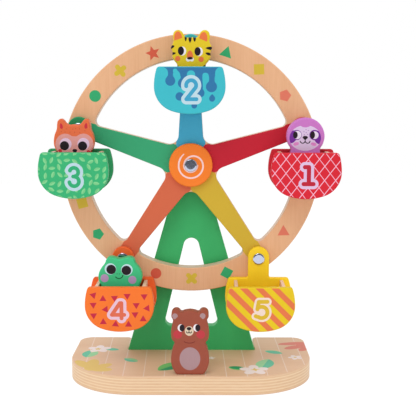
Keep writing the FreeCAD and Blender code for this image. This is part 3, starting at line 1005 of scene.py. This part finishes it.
@dataclass
class Stand:
    """The base board and the tower with the metal parts that they carry."""

    base_plies: int = 13
    plank_pitch: float = 19.27
    plank_offset: float = -6.1
    plank_slope: float = 660.0
    plank_half_line: float = 0.34

    def base_prints(self) -> tuple[Print, ...]:
        """Plank lines, flowers and leaves on top of the base board.

        Returns:
            The prints, from the lowest to the topmost; x is to the right and z towards the back.
        """
        planks = Stripes(self.plank_offset, 0.0, self.plank_pitch, self.plank_slope, self.plank_half_line)
        left_leaf = Leaf(-102.0, 4.8, 12.4, 7.4, 82)
        small_leaf = Leaf(-58.7, -15.6, 8.6, 4.9, -38)
        big_leaf = Leaf(-18.5, -34.2, 17.5, 9.2, 48)
        right_leaf = Leaf(72.0, -27.5, 16.0, 8.6, 72)
        return (
            Print(planks, Ink.PLANK_LINE),
            spots(Ink.BLOSSOM_YELLOW, Oval(-103.5, -29.0, 14.5, 5.6, 125), Oval(-95.0, -28.0, 14.5, 6.3, 88),
                  Oval(-85.0, -35.0, 11.5, 5.6, 42), Oval(-84.0, -44.5, 10.0, 6.0, -3),
                  Oval(-93.0, -41.0, 8.0, 7.0), melt=1.0),
            Print(Leaf(-99.0, 2.5, 10.5, 4.6, 68), Ink.PRINT_LIGHT_GREEN),
            Print(left_leaf.half(LEFT_HALF), Ink.PRINT_TEAL),
            Print(Leaf(-81.2, 19.4, 7.4, 4.2, -12), Ink.PRINT_TEAL),
            flower(-94.3, 21.0, 12.0, 18),
            Print(Badge(-95.8, 20.6, 3.8, 5, 20, 2.0), Ink.BLOSSOM_YELLOW),
            Print(small_leaf, Ink.PRINT_TEAL),
            Print(small_leaf.half(LEFT_HALF), Ink.PRINT_LIGHT_GREEN),
            Print(big_leaf, Ink.PRINT_LEAF),
            Print(big_leaf.half(RIGHT_HALF), Ink.PRINT_DARK_GREEN),
            flower(20.0, -8.7, 4.2, 10),
            spots(Ink.CORAL_PETAL, Oval(106.0, 40.5, 16.0, 5.0, 10), Oval(107.0, 28.0, 13.0, 5.4, 30),
                  Oval(116.0, 22.0, 9.0, 4.4, 50), Oval(116.0, 36.0, 7.0, 9.0)),
            Print(Leaf(83.4, 10.8, 9.6, 5.2, -27), Ink.PRINT_LIGHT_GREEN),
            Print(Leaf(83.6, 10.0, 9.4, 4.3, -27), Ink.PRINT_TEAL),
            flower(103.6, -6.3, 7.2, 40),
            Print(Oval(103.6, -6.3, 1.6), Ink.BLOSSOM_YELLOW),
            Print(Leaf(44.8, -39.8, 8.6, 5.4, -20), Ink.PRINT_LEAF),
            Print(Leaf(45.2, -38.8, 8.6, 4.3, -20), Ink.PRINT_DARK_GREEN),
            Print(right_leaf, Ink.PRINT_LIGHT_GREEN),
            Print(right_leaf.half(RIGHT_HALF), Ink.PRINT_TEAL),
            flower(60.8, -45.0, 14.0, 20),
            Print(Badge(61.7, -44.1, 5.2, 4, 10, 2.0), Ink.BLOSSOM_YELLOW),
        )

    def build(self) -> None:
        """Dresses the stand's nodes."""
        low, high = box_mm("base_board")
        plies = Plies(2, low.z, high.z - low.z, self.base_plies, Ink.PLY_LIGHT, Ink.PLY_DARK, Ink.PLY_GLUE)
        top = Canvas(0.0, 0.0, high.z, lies_flat=True)
        dress(BarePly("base_plywood", Ink.BASE_FACE, Ink.BASE_FACE_DEEP, Grain.ACROSS, plies, top,
                      self.base_prints()), "base_board")
        dress(PaintedBoard("tower_green_paint", Ink.TOWER), "tower")
        dress(Metal("zinc_plated_screws", Ink.ZINC, Lustre.PLATED), "tower_screws")
        dress(Metal("chrome_axle", Ink.CHROME, Lustre.POLISHED, ground=True), "axle_bolt")
        dress(Metal("zinc_plated_axle_parts", Ink.ZINC, Lustre.PLATED),
              "axle_spacer", "axle_washer", "axle_nut")


# Wheel

@dataclass
class Wheel:
    """The ring with its spokes, the hub disc and the bush."""

    print_radius: float = 112.5
    cross_reach: float = 4.4
    cross_half_line: float = 2.3
    plies: int = 9
    spoke_inks: tuple[Ink, ...] = (Ink.SPOKE_RED, Ink.SPOKE_BLUE, Ink.SPOKE_GREEN, Ink.SPOKE_ORANGE,
                                   Ink.SPOKE_YELLOW)

    def on_ring(self, angle: float, outwards: float = 0.0) -> tuple[float, float]:
        """The place of a print on the ring at an angle in degrees, and how far out of its row."""
        turn = math.radians(angle)
        radius = self.print_radius + outwards
        return radius * math.cos(turn), radius * math.sin(turn)

    def cross(self, angle: float, turn: float) -> Shape:
        """A cross of two short bars with round ends on the ring."""
        x, z = self.on_ring(angle)
        arms = []
        for arm_turn in (math.radians(turn), math.radians(turn + 90)):
            run = (self.cross_reach * math.cos(arm_turn), self.cross_reach * math.sin(arm_turn))
            arms.append(Bar((x - run[0], z - run[1]), (x + run[0], z + run[1]), self.cross_half_line))
        return Joined(tuple(arms))

    def ring_prints(self) -> tuple[Print, ...]:
        """Small simple shapes round the ring, three between each two spokes.

        Returns:
            The prints.
        """
        return (
            Print(Badge(*self.on_ring(108.7), 7.3, 5, 35, 3.3), Ink.PRINT_RED),
            Print(self.cross(126.8, 38), Ink.PRINT_YELLOW),
            Print(Oval(*self.on_ring(144.3, 0.6), 5.6), Ink.PRINT_GREEN),
            Print(Badge(*self.on_ring(72.4, -0.4), 7.0, 3, 72), Ink.PRINT_GREEN),
            Print(Block(*self.on_ring(54.5), 4.9, 4.9, 2), Ink.PRINT_YELLOW),
            Print(Badge(*self.on_ring(36.4), 6.0, 5, 75), Ink.PRINT_CORAL),
            Print(Oval(*self.on_ring(180), 5.4), Ink.PRINT_CORAL),
            Print(Block(*self.on_ring(199.5), 4.9, 4.9, 15), Ink.PRINT_YELLOW),
            Print(Badge(*self.on_ring(216.8, 1.3), 5.9, 5, 0), Ink.PRINT_GREEN),
            Print(Oval(*self.on_ring(252.2, 0.3), 5.3), Ink.PRINT_RED),
            Print(self.cross(270.3, 45), Ink.PRINT_YELLOW),
            Print(Block(*self.on_ring(288.3), 4.8, 4.8, 62), Ink.PRINT_GREEN),
            Print(Badge(*self.on_ring(324.1, -0.4), 6.9, 3, 92), Ink.PRINT_CORAL),
            Print(self.cross(346, 20), Ink.PRINT_YELLOW),
            Print(Badge(*self.on_ring(0), 7.3, 5, 10, 3.3), Ink.PRINT_GREEN),
        )

    def spiral(self) -> tuple[Print, ...]:
        """The spiral line on the hub disc: four bows of growing radius, end to end, and a thin tip."""
        half_line = 0.80
        tip_half_line = 0.55
        bows = ((-0.1, -0.1, 6.47, 180, 180, half_line), (2.7, -0.2, 9.06, 0, 180, half_line),
                (0.15, -0.6, 11.77, 180, 180, half_line), (2.75, -0.2, 14.34, 148, 32, half_line),
                (2.75, -0.2, 14.34, 131, 20, tip_half_line))
        return (spots(Ink.SPIRAL, *(Bow(*bow) for bow in bows)),)

    def build(self) -> None:
        """Dresses the wheel's nodes."""
        low, high = box_mm("wheel_plate")
        middle = (low + high) / 2
        front = Canvas(middle.x, middle.z, low.y)
        plies = Plies(1, low.y, high.y - low.y, self.plies, Ink.PALE_PLY, Ink.PALE_PLY_DARK, Ink.PLY_GLUE)
        dress(WheelPly("wheel_plywood", Ink.BIRCH, Ink.BIRCH_DEEP, Grain.UPRIGHT, plies, front,
                       self.ring_prints(), self.spoke_inks), "wheel_plate")
        disc_low, _ = box_mm("hub_disc")
        disc = Canvas(middle.x, middle.z, disc_low.y)
        dress(PaintedBoard("hub_orange_paint", Ink.HUB, disc, self.spiral()), "hub_disc")
        dress(Metal("turned_brass", Ink.BRASS, Lustre.TURNED), "hub_bush")


# Gondolas

@dataclass(frozen=True)
class Number:
    """A plain number: its strokes, its ink, and the paler rim round it."""

    strokes: Shape
    ink: Ink
    rim_ink: Ink
    rim: float

    def prints(self) -> tuple[Print, ...]:
        """The rim and then the number."""
        return Print(self.strokes, self.rim_ink, self.rim), Print(self.strokes, self.ink)


def number_one(half: float = 1.95) -> Shape:
    """A 1 with a short flag and a foot."""
    return Joined((Bar((2.0, -12.8), (2.0, -28.4), half), Bar((-1.7, -12.8), (2.0, -12.8), half),
                   Bar((-2.7, -28.4), (6.3, -28.4), half)))


def number_two(half: float = 1.75) -> Shape:
    """A 2 of one bow, a slope and a foot."""
    return Joined((Bow(1.2, -16.4, 4.5, -25, 215, half), Bar((5.3, -18.3), (-3.2, -28.9), half),
                   Bar((-3.2, -28.9), (6.0, -28.9), half)))


def number_three(half: float = 1.75) -> Shape:
    """A 3 of two bows."""
    return Joined((Bow(0.6, -16.1, 3.9, -80, 240, half), Bar((-0.2, -20.2), (1.3, -20.2), half),
                   Bow(0.6, -24.7, 4.4, -170, 255, half)))


def number_four(half: float = 1.85) -> Shape:
    """A 4 of three straight strokes."""
    return Joined((Bar((2.8, -14.0), (2.8, -28.7), half), Bar((1.4, -14.0), (-6.2, -25.3), half),
                   Bar((-6.2, -25.3), (5.4, -25.3), half)))


def number_five(half: float = 1.9) -> Shape:
    """A 5 of a flag, a neck and a bow with a tail."""
    return Joined((Bar((-1.9, -13.3), (5.8, -13.2), half), Bar((-2.3, -13.4), (-3.5, -20.4), half),
                   Bow(0.5, -23.4, 5.4, -122, 242, half), Bar((-2.4, -28.0), (-5.0, -27.1), half)))


def lattice() -> tuple[Print, ...]:
    """Crossing sloped lines."""
    pitch_x = 10.15
    pitch_z = 13.04
    return (spots(Ink.LATTICE, Stripes(1.27, -5.54, pitch_x, pitch_z, 0.28),
                  Stripes(1.27, -5.54, pitch_x, -pitch_z, 0.35)),)


def drips() -> tuple[Print, ...]:
    """Paint along the top edge that runs down in drops, with round gaps between the runs."""
    gaps = Joined((Oval(-24.4, -6.2, 5.0, 5.8), Oval(-13.3, -3.7, 2.2), Oval(-11.9, -8.2, 3.6, 5.2, 12),
                   Bar((1.1, -7.0), (1.1, -14.0), 3.9), Bar((14.1, -8.6), (14.1, -14.0), 3.4),
                   Oval(27.1, -6.8, 4.6, 6.4)))
    band = Without(Block(1.35, -3.0, 25.75, 5.0), gaps)
    running = Joined((band, Bar((-17.4, -4.0), (-17.6, -10.0), 1.85), Oval(-17.7, -12.4, 4.5),
                      Bar((-5.6, -4.0), (-5.6, -12.0), 2.5), Oval(-6.3, -14.5, 4.5),
                      Bar((8.1, -4.0), (8.9, -18.0), 2.9), Oval(9.3, -23.3, 4.0),
                      Bar((20.0, -5.0), (19.9, -13.0), 2.5), Oval(19.6, -17.6, 5.0)), 2.0)
    drops = Joined((Oval(-9.2, -26.4, 3.8), Oval(4.0, -34.7, 2.6),
                    Joined((Oval(20.2, -28.2, 2.7, 2.9), Oval(20.3, -26.0, 1.2, 1.5)), 1.0)))
    return Print(running, Ink.DRIP_BLUE), Print(drops, Ink.DRIP_BLUE)


def leaves() -> tuple[Print, ...]:
    """Small leaves strewn over the panel, each with one darker half."""
    return (Print(LeafScatter(6.9, 3.2, 1.5, 0.36), Ink.LEAF),
            Print(LeafScatter(6.9, 3.2, 1.5, 0.36, halved=True), Ink.LEAF_SHADE))


def triangles() -> tuple[Print, ...]:
    """Small triangles that point down, up or to the left."""
    down = -88
    up = 90
    left = 185
    places = ((-23.3, -6.5, -75), (-14.4, -10.1, up), (-3.6, -9.1, down), (8.3, -7.1, down),
              (24.2, -7.5, down), (-23.6, -15.7, down), (-12.0, -20.1, left), (16.7, -15.9, down),
              (27.0, -18.9, left), (-23.4, -25.9, down), (15.5, -24.8, down), (-14.4, -32.3, up),
              (-2.9, -34.4, 205), (9.3, -34.7, up), (23.1, -29.5, up))
    return tuple(Print(Badge(x, z, 3.85, 3, turn), Ink.TRIANGLE) for x, z, turn in places)


def sloped_stripes() -> tuple[Print, ...]:
    """Broad stripes that fall to the right, between plain corners; a pale disc fills the 5's bowl."""
    pitch = 14.7
    striped = Common((Stripes(-1.1, -1.2, pitch, pitch, 2.6), Side(20.7, 0.0, 45), Side(-26.0, -26.0, 225)))
    return Print(striped, Ink.STRIPE), Print(Oval(-0.4, -23.6, 4.6, 4.2), Ink.ROSE_RIM)


@dataclass
class Gondola:
    """One cabin's boards."""

    number: int
    paint: Ink
    # the back panel is painted like the front; this colour holds painted shade for cabins 1, 3 and 4 and
    # painted light for cabin 5
    back_paint: Ink
    pattern: tuple[Print, ...]
    label: Number
    print_shift: tuple[float, float]

    def build(self) -> None:
        """Dresses the cabin's boards."""
        name = "gondola_%d_" % self.number
        front = front_canvas(name + "front_panel", self.print_shift)
        prints = self.pattern + self.label.prints()
        dress(PaintedBoard(name + "front_paint", self.paint, front, prints), name + "front_panel")
        # the back panel's colour is the front's paint with painted shade on cabins 1, 3 and 4 and painted
        # light on cabin 5
        dress(PaintedBoard(name + "back_paint", self.back_paint), name + "back_panel")
        dress(SideVeneer(name + "side_veneer", Grain.DEEP), name + "left_side", name + "right_side")
        dress(SideVeneer(name + "floor_veneer", Grain.ACROSS), name + "floor")


# Figures: x is from the figure's middle and z is downwards from the top of its head

def tiger_face() -> tuple[Print, ...]:
    """Ears, stripes, eyes, nose, cheeks and belly of the tiger."""
    rows = ((-43.0, 5.4, 1.2, 4), (-48.5, 5.0, 1.1, 2), (-54.0, 4.6, 1.0, -2))
    flanks = (Leaf(x, z, length, width, lean * turn) for x, lean in ((17.5, -1), (-16.5, 1))
              for z, length, width, turn in rows)
    return (spots(Ink.TIGER_ORANGE, Common((Oval(-11.9, -7.6, 3.7, 6.6, 4), Side(-11.6, -8.2, -71))),
                  Common((Oval(11.2, -8.0, 3.8, 6.4, -6), Side(11.2, -9.0, -113)))),
            spots(Ink.BLACK, Leaf(-4.9, -6.4, 3.9, 1.15, 88), Leaf(-1.0, -7.0, 4.6, 1.5, 90),
                  Leaf(3.2, -7.2, 3.5, 1.3, 92), Leaf(-18.3, -15.3, 3.3, 1.5, 22),
                  Leaf(-17.0, -21.2, 3.2, 1.2, 10), Leaf(18.6, -16.4, 5.6, 1.5, -3),
                  Leaf(16.2, -21.5, 3.2, 1.3, -16), Leaf(12.0, -33.2, 2.8, 1.1, 42),
                  Leaf(-12.6, -33.2, 2.8, 1.1, 138), *flanks),
            spots(Ink.WHITE, Oval(-8.1, -18.9, 3.5, 4.1), Oval(7.2, -19.4, 3.6, 4.1)),
            spots(Ink.BLACK, Oval(-9.4, -18.7, 2.85, 3.95), Oval(6.0, -19.2, 2.9, 3.95)),
            dots(Ink.WHITE, ((-2.8, -26.5), (0.6, -26.5)), 2.0, 1.9),
            Print(Common((Oval(-1.1, -24.4, 2.95, 6.0), Side(-1.1, -24.6, -90))), Ink.TIGER_ORANGE),
            Print(Oval(-1.1, -25.4, 2.75, 1.25), Ink.BLACK),
            spots(Ink.TIGER_ORANGE, Oval(-12.4, -25.8, 2.45), Oval(9.2, -26.4, 2.5)),
            Print(Oval(0.0, -51.5, 8.6, 10.4), Ink.TIGER_BELLY))


def sloth_face() -> tuple[Print, ...]:
    """Pale face, eye patches, nose, mouth, cheeks and belly of the sloth."""
    face = Oval(0.4, -19.0, 14.8, 11.9)
    patches = Joined((Oval(-7.6, -16.2, 4.7), Oval(-11.8, -17.9, 6.0, 4.2, 76), Oval(9.0, -16.2, 4.8),
                      Oval(12.8, -18.6, 6.2, 4.2, -74)), 1.2)
    specks = ((1.0, -11.2), (3.1, -11.9), (-0.9, -13.1), (1.2, -13.9), (2.7, -15.6), (-0.6, -15.8))
    return (Print(Without(face, Oval(0.4, -4.7, 6.0, 4.4)), Ink.PALE_LILAC),
            Print(Common((patches, face)), Ink.PURPLE),
            dots(Ink.SLOTH_SPECK, specks, 0.42),
            spots(Ink.SLOTH_EYE, Oval(-7.2, -16.2, 3.9), Oval(9.2, -16.3, 3.6)),
            spots(Ink.BLACK, Oval(-8.9, -16.2, 2.2, 3.3), Oval(7.2, -16.2, 2.3, 3.45)),
            spots(Ink.BLACK, Oval(0.4, -18.5, 2.5, 1.5), Oval(0.4, -19.6, 1.2, 1.3), melt=0.5),
            spots(Ink.BLACK, Bow(-2.0, -21.6, 2.25, 190, 160, 0.45), Bow(2.7, -21.6, 2.25, 190, 160, 0.45),
                  Bar((0.4, -20.0), (0.4, -21.9), 0.4)),
            spots(Ink.SLOTH_CHEEK, Oval(-8.0, -24.5, 2.7, 1.6, 14), Oval(8.4, -24.7, 2.7, 1.6, -14)),
            Print(Oval(0.0, -49.5, 8.6, 9.6), Ink.PALE_LILAC))


def fox_face() -> tuple[Print, ...]:
    """Ears, pale mask, eyes, nose, cheeks and belly of the fox."""
    specks = ((-6.7, -9.2), (-1.1, -9.4), (1.5, -8.8), (5.2, -9.2), (-11.9, -11.5), (-8.4, -12.1),
              (-3.8, -12.3), (0.6, -12.3), (5.4, -12.6), (10.2, -10.9))
    return (spots(Ink.FOX_RED, Leaf(-11.8, -6.6, 2.9, 1.4, 100), Oval(-11.7, -7.6, 1.45),
                  Leaf(11.2, -6.4, 2.9, 1.4, 80), Oval(11.2, -7.5, 1.45)),
            dots(Ink.FOX_SPECK, specks, 0.34, 0.6),
            spots(Ink.FOX_PINK, Oval(-8.3, -23.4, 9.3, 9.7), Oval(8.8, -23.4, 9.1, 9.8),
                  Oval(0.2, -28.2, 15.5, 9.6), Oval(0.2, -20.8, 5.6, 4.6), melt=2.4),
            dots(Ink.FOX_LILAC, ((-8.1, -23.4), (8.6, -23.2)), 5.6),
            dots(Ink.BLACK, ((-9.2, -24.9), (7.7, -25.1)), 4.3),
            spots(Ink.BLACK, Oval(0.4, -29.4, 2.2, 1.5), Oval(0.4, -30.4, 1.3, 1.4), melt=0.6),
            spots(Ink.BLACK, Bow(-2.0, -33.0, 2.2, 180, 160, 0.36), Bow(2.6, -33.0, 2.2, 200, 160, 0.36)),
            spots(Ink.FOX_RED, Oval(-13.3, -29.7, 1.75), Oval(13.1, -30.6, 1.65)),
            Print(Oval(0.0, -50.5, 8.2, 9.4), Ink.FOX_PINK))


def frog_face() -> tuple[Print, ...]:
    """Eyes, nostrils, smile, cheeks and belly of the frog."""
    return (dots(Ink.FROG_EYE, ((-7.4, -11.0), (8.3, -11.8)), 5.5),
            dots(Ink.BLACK, ((-6.7, -11.5), (7.8, -12.4)), 4.6),
            dots(Ink.FROG_CHEEK, ((-13.1, -20.0), (13.4, -21.6)), 3.9),
            dots(Ink.FROG_LINE, ((-1.1, -15.8), (1.0, -15.8)), 0.45),
            Print(Bow(0.6, -16.4, 3.9, 218, 130, 0.45), Ink.FROG_LINE),
            Print(Oval(0.0, -45.0, 8.8, 9.6), Ink.PRINT_LIGHT_GREEN))


def bear_face() -> tuple[Print, ...]:
    """Ears, eyes, muzzle, cheeks, chin line and belly of the bear."""
    left_ear = Joined((Oval(-13.9, -6.0, 2.6), Oval(-14.0, -7.5, 1.2, 1.3)), 1.5)
    right_ear = Joined((Oval(11.7, -5.8, 2.6), Oval(11.8, -7.3, 1.2, 1.3)), 1.5)
    return (spots(Ink.BEAR_BELLY, Common((left_ear, Side(-12.2, -7.4, -45))),
                  Common((right_ear, Side(10.0, -7.2, -135)))),
            dots(Ink.BEAR_CHEEK, ((-11.4, -23.4), (9.9, -23.4)), 4.0),
            dots(Ink.WHITE, ((-8.2, -17.2), (6.2, -17.1)), 3.2, 3.5),
            dots(Ink.BLACK, ((-7.3, -17.2), (7.2, -17.1)), 2.35, 3.3),
            Print(Oval(-0.7, -20.1, 4.1, 4.55), Ink.BEAR_MUZZLE),
            spots(Ink.BLACK, Oval(-0.9, -17.8, 2.2, 1.5), Bar((-0.9, -18.4), (-0.9, -20.8), 0.36),
                  Bow(-2.05, -20.8, 1.15, 180, 180, 0.4), Bow(0.25, -20.8, 1.15, 180, 180, 0.4)),
            Print(Bow(-0.5, -21.9, 9.7, 240, 60, 0.4), Ink.BEAR_LINE),
            Print(Oval(-0.1, -46.6, 9.6, 10.95), Ink.BEAR_BELLY))


@dataclass
class Figure:
    """A loose figure: a painted board with a printed face."""

    animal: str
    paint: Ink
    face: tuple[Print, ...]
    print_shift: tuple[float, float]
    ink_reach: float = 1.3

    def build(self) -> None:
        """Dresses the figure's node."""
        node = "figure_" + self.animal
        front = front_canvas(node, self.print_shift, self.ink_reach)
        dress(PaintedBoard(self.animal + "_paint", self.paint, front, self.face), node)


# Studio

@dataclass
class Studio:
    """The floor, the light and the camera."""

    floor_half: float = 1.8
    floor_drop: float = 1e-4
    floor_glow: float = 1.1
    glow_share: float = 0.85
    ambient: float = 0.88
    key_watts: float = 9.5
    room_ahead: float = -0.60
    room_foot: float = -0.17
    room_top: float = 0.80
    room_tone: float = 0.16
    key_place: tuple[float, float, float] = (-0.45, -1.35, 1.75)
    key_size: float = 1.1
    camera_place: tuple[float, float, float] = (0.01674, -0.81217, 0.27487)
    look_down: float = 0.1324
    camera_roll: float = 0.00174
    focal_pixels: float = 838.04
    image_pixels: float = 416.0
    sensor_width: float = 36.0

    def floor(self) -> None:
        """A plain pale floor that looks white and keeps a faint shadow."""
        half = self.floor_half
        outline = ((-half, -half), (half, -half), (half, half), (-half, half))
        mesh = bpy.data.meshes.new("floor")
        mesh.from_pydata([(*corner, -self.floor_drop) for corner in outline], [], [(0, 1, 2, 3)])
        piece = bpy.data.objects.new("floor", mesh)
        bpy.context.scene.collection.objects.link(piece)
        bench = Bench(bpy.data.materials.new("floor_white"))
        grain = bench.noise(bench.point(), 0.02, 2.0)
        matt = bench.node("ShaderNodeBsdfDiffuse", inputs={"Color": bench.grey(grain * 0.02 + 0.89)})
        glow = bench.node("ShaderNodeEmission", inputs={"Color": WHITE_LIGHT, "Strength": self.floor_glow})
        camera_ray = bench.node("ShaderNodeLightPath")
        mirrored = camera_ray.output("Is Glossy Ray") + camera_ray.output("Is Transmission Ray")
        seen = bench.capped_sum(camera_ray, mirrored)
        mixed = bench.node("ShaderNodeMixShader", inputs={0: seen * self.glow_share, 1: matt, 2: glow})
        bench.node("ShaderNodeOutputMaterial", inputs={"Surface": mixed})
        mesh.materials.append(bench.owner)

    def world(self) -> None:
        """White behind the toy, softer light on it, and a dark room ahead that polished metal shows.

        The room lies where a ray's direction has y under room_ahead and z from room_foot to room_top.
        """
        bench = Bench(bpy.data.worlds.new("studio"))
        bpy.context.scene.world = bench.owner
        camera_ray = bench.node("ShaderNodeLightPath")
        glossy = camera_ray.output("Is Glossy Ray")
        _, y, z = bench.parts(bench.node("ShaderNodeTexCoord", output="Generated"))
        level = bench.sum_of("MAXIMUM", self.room_foot - z, z - self.room_top)
        room = bench.inside(y - self.room_ahead, 0.12) * bench.inside(level, 0.06)
        seen = bench.capped_sum(camera_ray, camera_ray.output("Is Transmission Ray"))
        mirrored = 1.0 - room * (1.0 - self.room_tone)
        strength = seen + glossy * mirrored + (1.0 - seen - glossy) * self.ambient
        light = bench.node("ShaderNodeBackground", inputs={"Color": WHITE_LIGHT, "Strength": strength})
        bench.node("ShaderNodeOutputWorld", inputs={"Surface": light})

    def lamps(self) -> None:
        """One large soft lamp above and in front of the toy."""
        lamp = bpy.data.lights.new("soft_lamp", "AREA")
        lamp.shape = "DISK"
        lamp.size = self.key_size
        lamp.energy = self.key_watts
        piece = bpy.data.objects.new("soft_lamp", lamp)
        piece.location = self.key_place
        aim = (cad_low + cad_high) / 2 - Vector(self.key_place)
        piece.rotation_euler = aim.to_track_quat("-Z", "Y").to_euler()
        bpy.context.scene.collection.objects.link(piece)

    def camera(self) -> None:
        """The camera at the photograph's place, looking along +Y and a little down."""
        data = bpy.data.cameras.new("camera")
        data.sensor_width = self.sensor_width
        data.lens = self.focal_pixels / self.image_pixels * self.sensor_width
        data.clip_start = 0.01
        data.clip_end = 20.0
        piece = bpy.data.objects.new("camera", data)
        tilt = Matrix.Rotation(math.pi / 2 - self.look_down, 4, "X")
        roll = Matrix.Rotation(self.camera_roll, 4, "Z")
        piece.matrix_world = Matrix.Translation(self.camera_place) @ (tilt @ roll)
        bpy.context.scene.collection.objects.link(piece)
        bpy.context.scene.camera = piece

    def build(self) -> None:
        """Sets up the studio."""
        self.floor()
        self.world()
        self.lamps()
        self.camera()
        bpy.context.scene.view_settings.view_transform = "Standard"


def build_gondolas() -> None:
    """Dresses the five cabins, each in its own paint, pattern and number, and what they hang on."""
    # each cabin's second colour is for its back panel: the front's paint with painted shade on cabins 1, 3
    # and 4, painted light on cabin 5, and plain on cabin 2
    looks = ((Ink.RED, Ink.RED_WITH_PAINTED_SHADE, lattice(),
              Number(number_one(), Ink.CRIMSON, Ink.LILAC_RIM, 2.75), (0.1, -0.2)),
             (Ink.CYAN, Ink.CYAN, drips(),
              Number(number_two(), Ink.NUMBER_BLUE, Ink.PALE_RIM, 2.9), (0.1, -0.4)),
             (Ink.GREEN, Ink.GREEN_WITH_PAINTED_SHADE, leaves(),
              Number(number_three(), Ink.NUMBER_GREEN, Ink.PALE_RIM, 2.8), (0.3, -1.8)),
             (Ink.ORANGE, Ink.ORANGE_WITH_PAINTED_SHADE, triangles(),
              Number(number_four(), Ink.NUMBER_CORAL, Ink.PINK_RIM, 2.8), (-0.8, -0.9)),
             (Ink.YELLOW, Ink.YELLOW_WITH_PAINTED_LIGHT, sloped_stripes(),
              Number(number_five(), Ink.NUMBER_GOLD, Ink.ROSE_RIM, 2.0), (0.5, -0.2)))
    for number, look in enumerate(looks, start=1):
        Gondola(number, *look).build()
    pivots = ["gondola_%d_pivot_" % number for number in range(1, len(looks) + 1)]
    dress(Metal("chrome_bolts", Ink.CHROME, Lustre.POLISHED, ground=True),
          *(name + "bolt" for name in pivots))
    dress(Metal("zinc_plated_pivot_parts", Ink.ZINC, Lustre.PLATED),
          *(name + part for name in pivots for part in ("washer", "nut")))


def build_figures() -> None:
    """Dresses the five loose figures."""
    Figure("sloth", Ink.VIOLET, sloth_face(), (-1.0, 0.1)).build()
    Figure("tiger", Ink.TIGER_YELLOW, tiger_face(), (-0.3, -0.4)).build()
    Figure("fox", Ink.FOX_ORANGE, fox_face(), (0.6, -0.2)).build()
    Figure("frog", Ink.FROG_GREEN, frog_face(), (-1.7, -0.4)).build()
    Figure("bear", Ink.BEAR_BROWN, bear_face(), (0.0, 0.0)).build()


def main() -> None:
    """Builds the looks, from the stand to the studio."""
    logging.basicConfig(level=logging.INFO, format="%(name)s: %(message)s")
    Stand().build()
    Wheel().build()
    build_gondolas()
    build_figures()
    Studio().build()


if __name__ == "__main__":
    main()
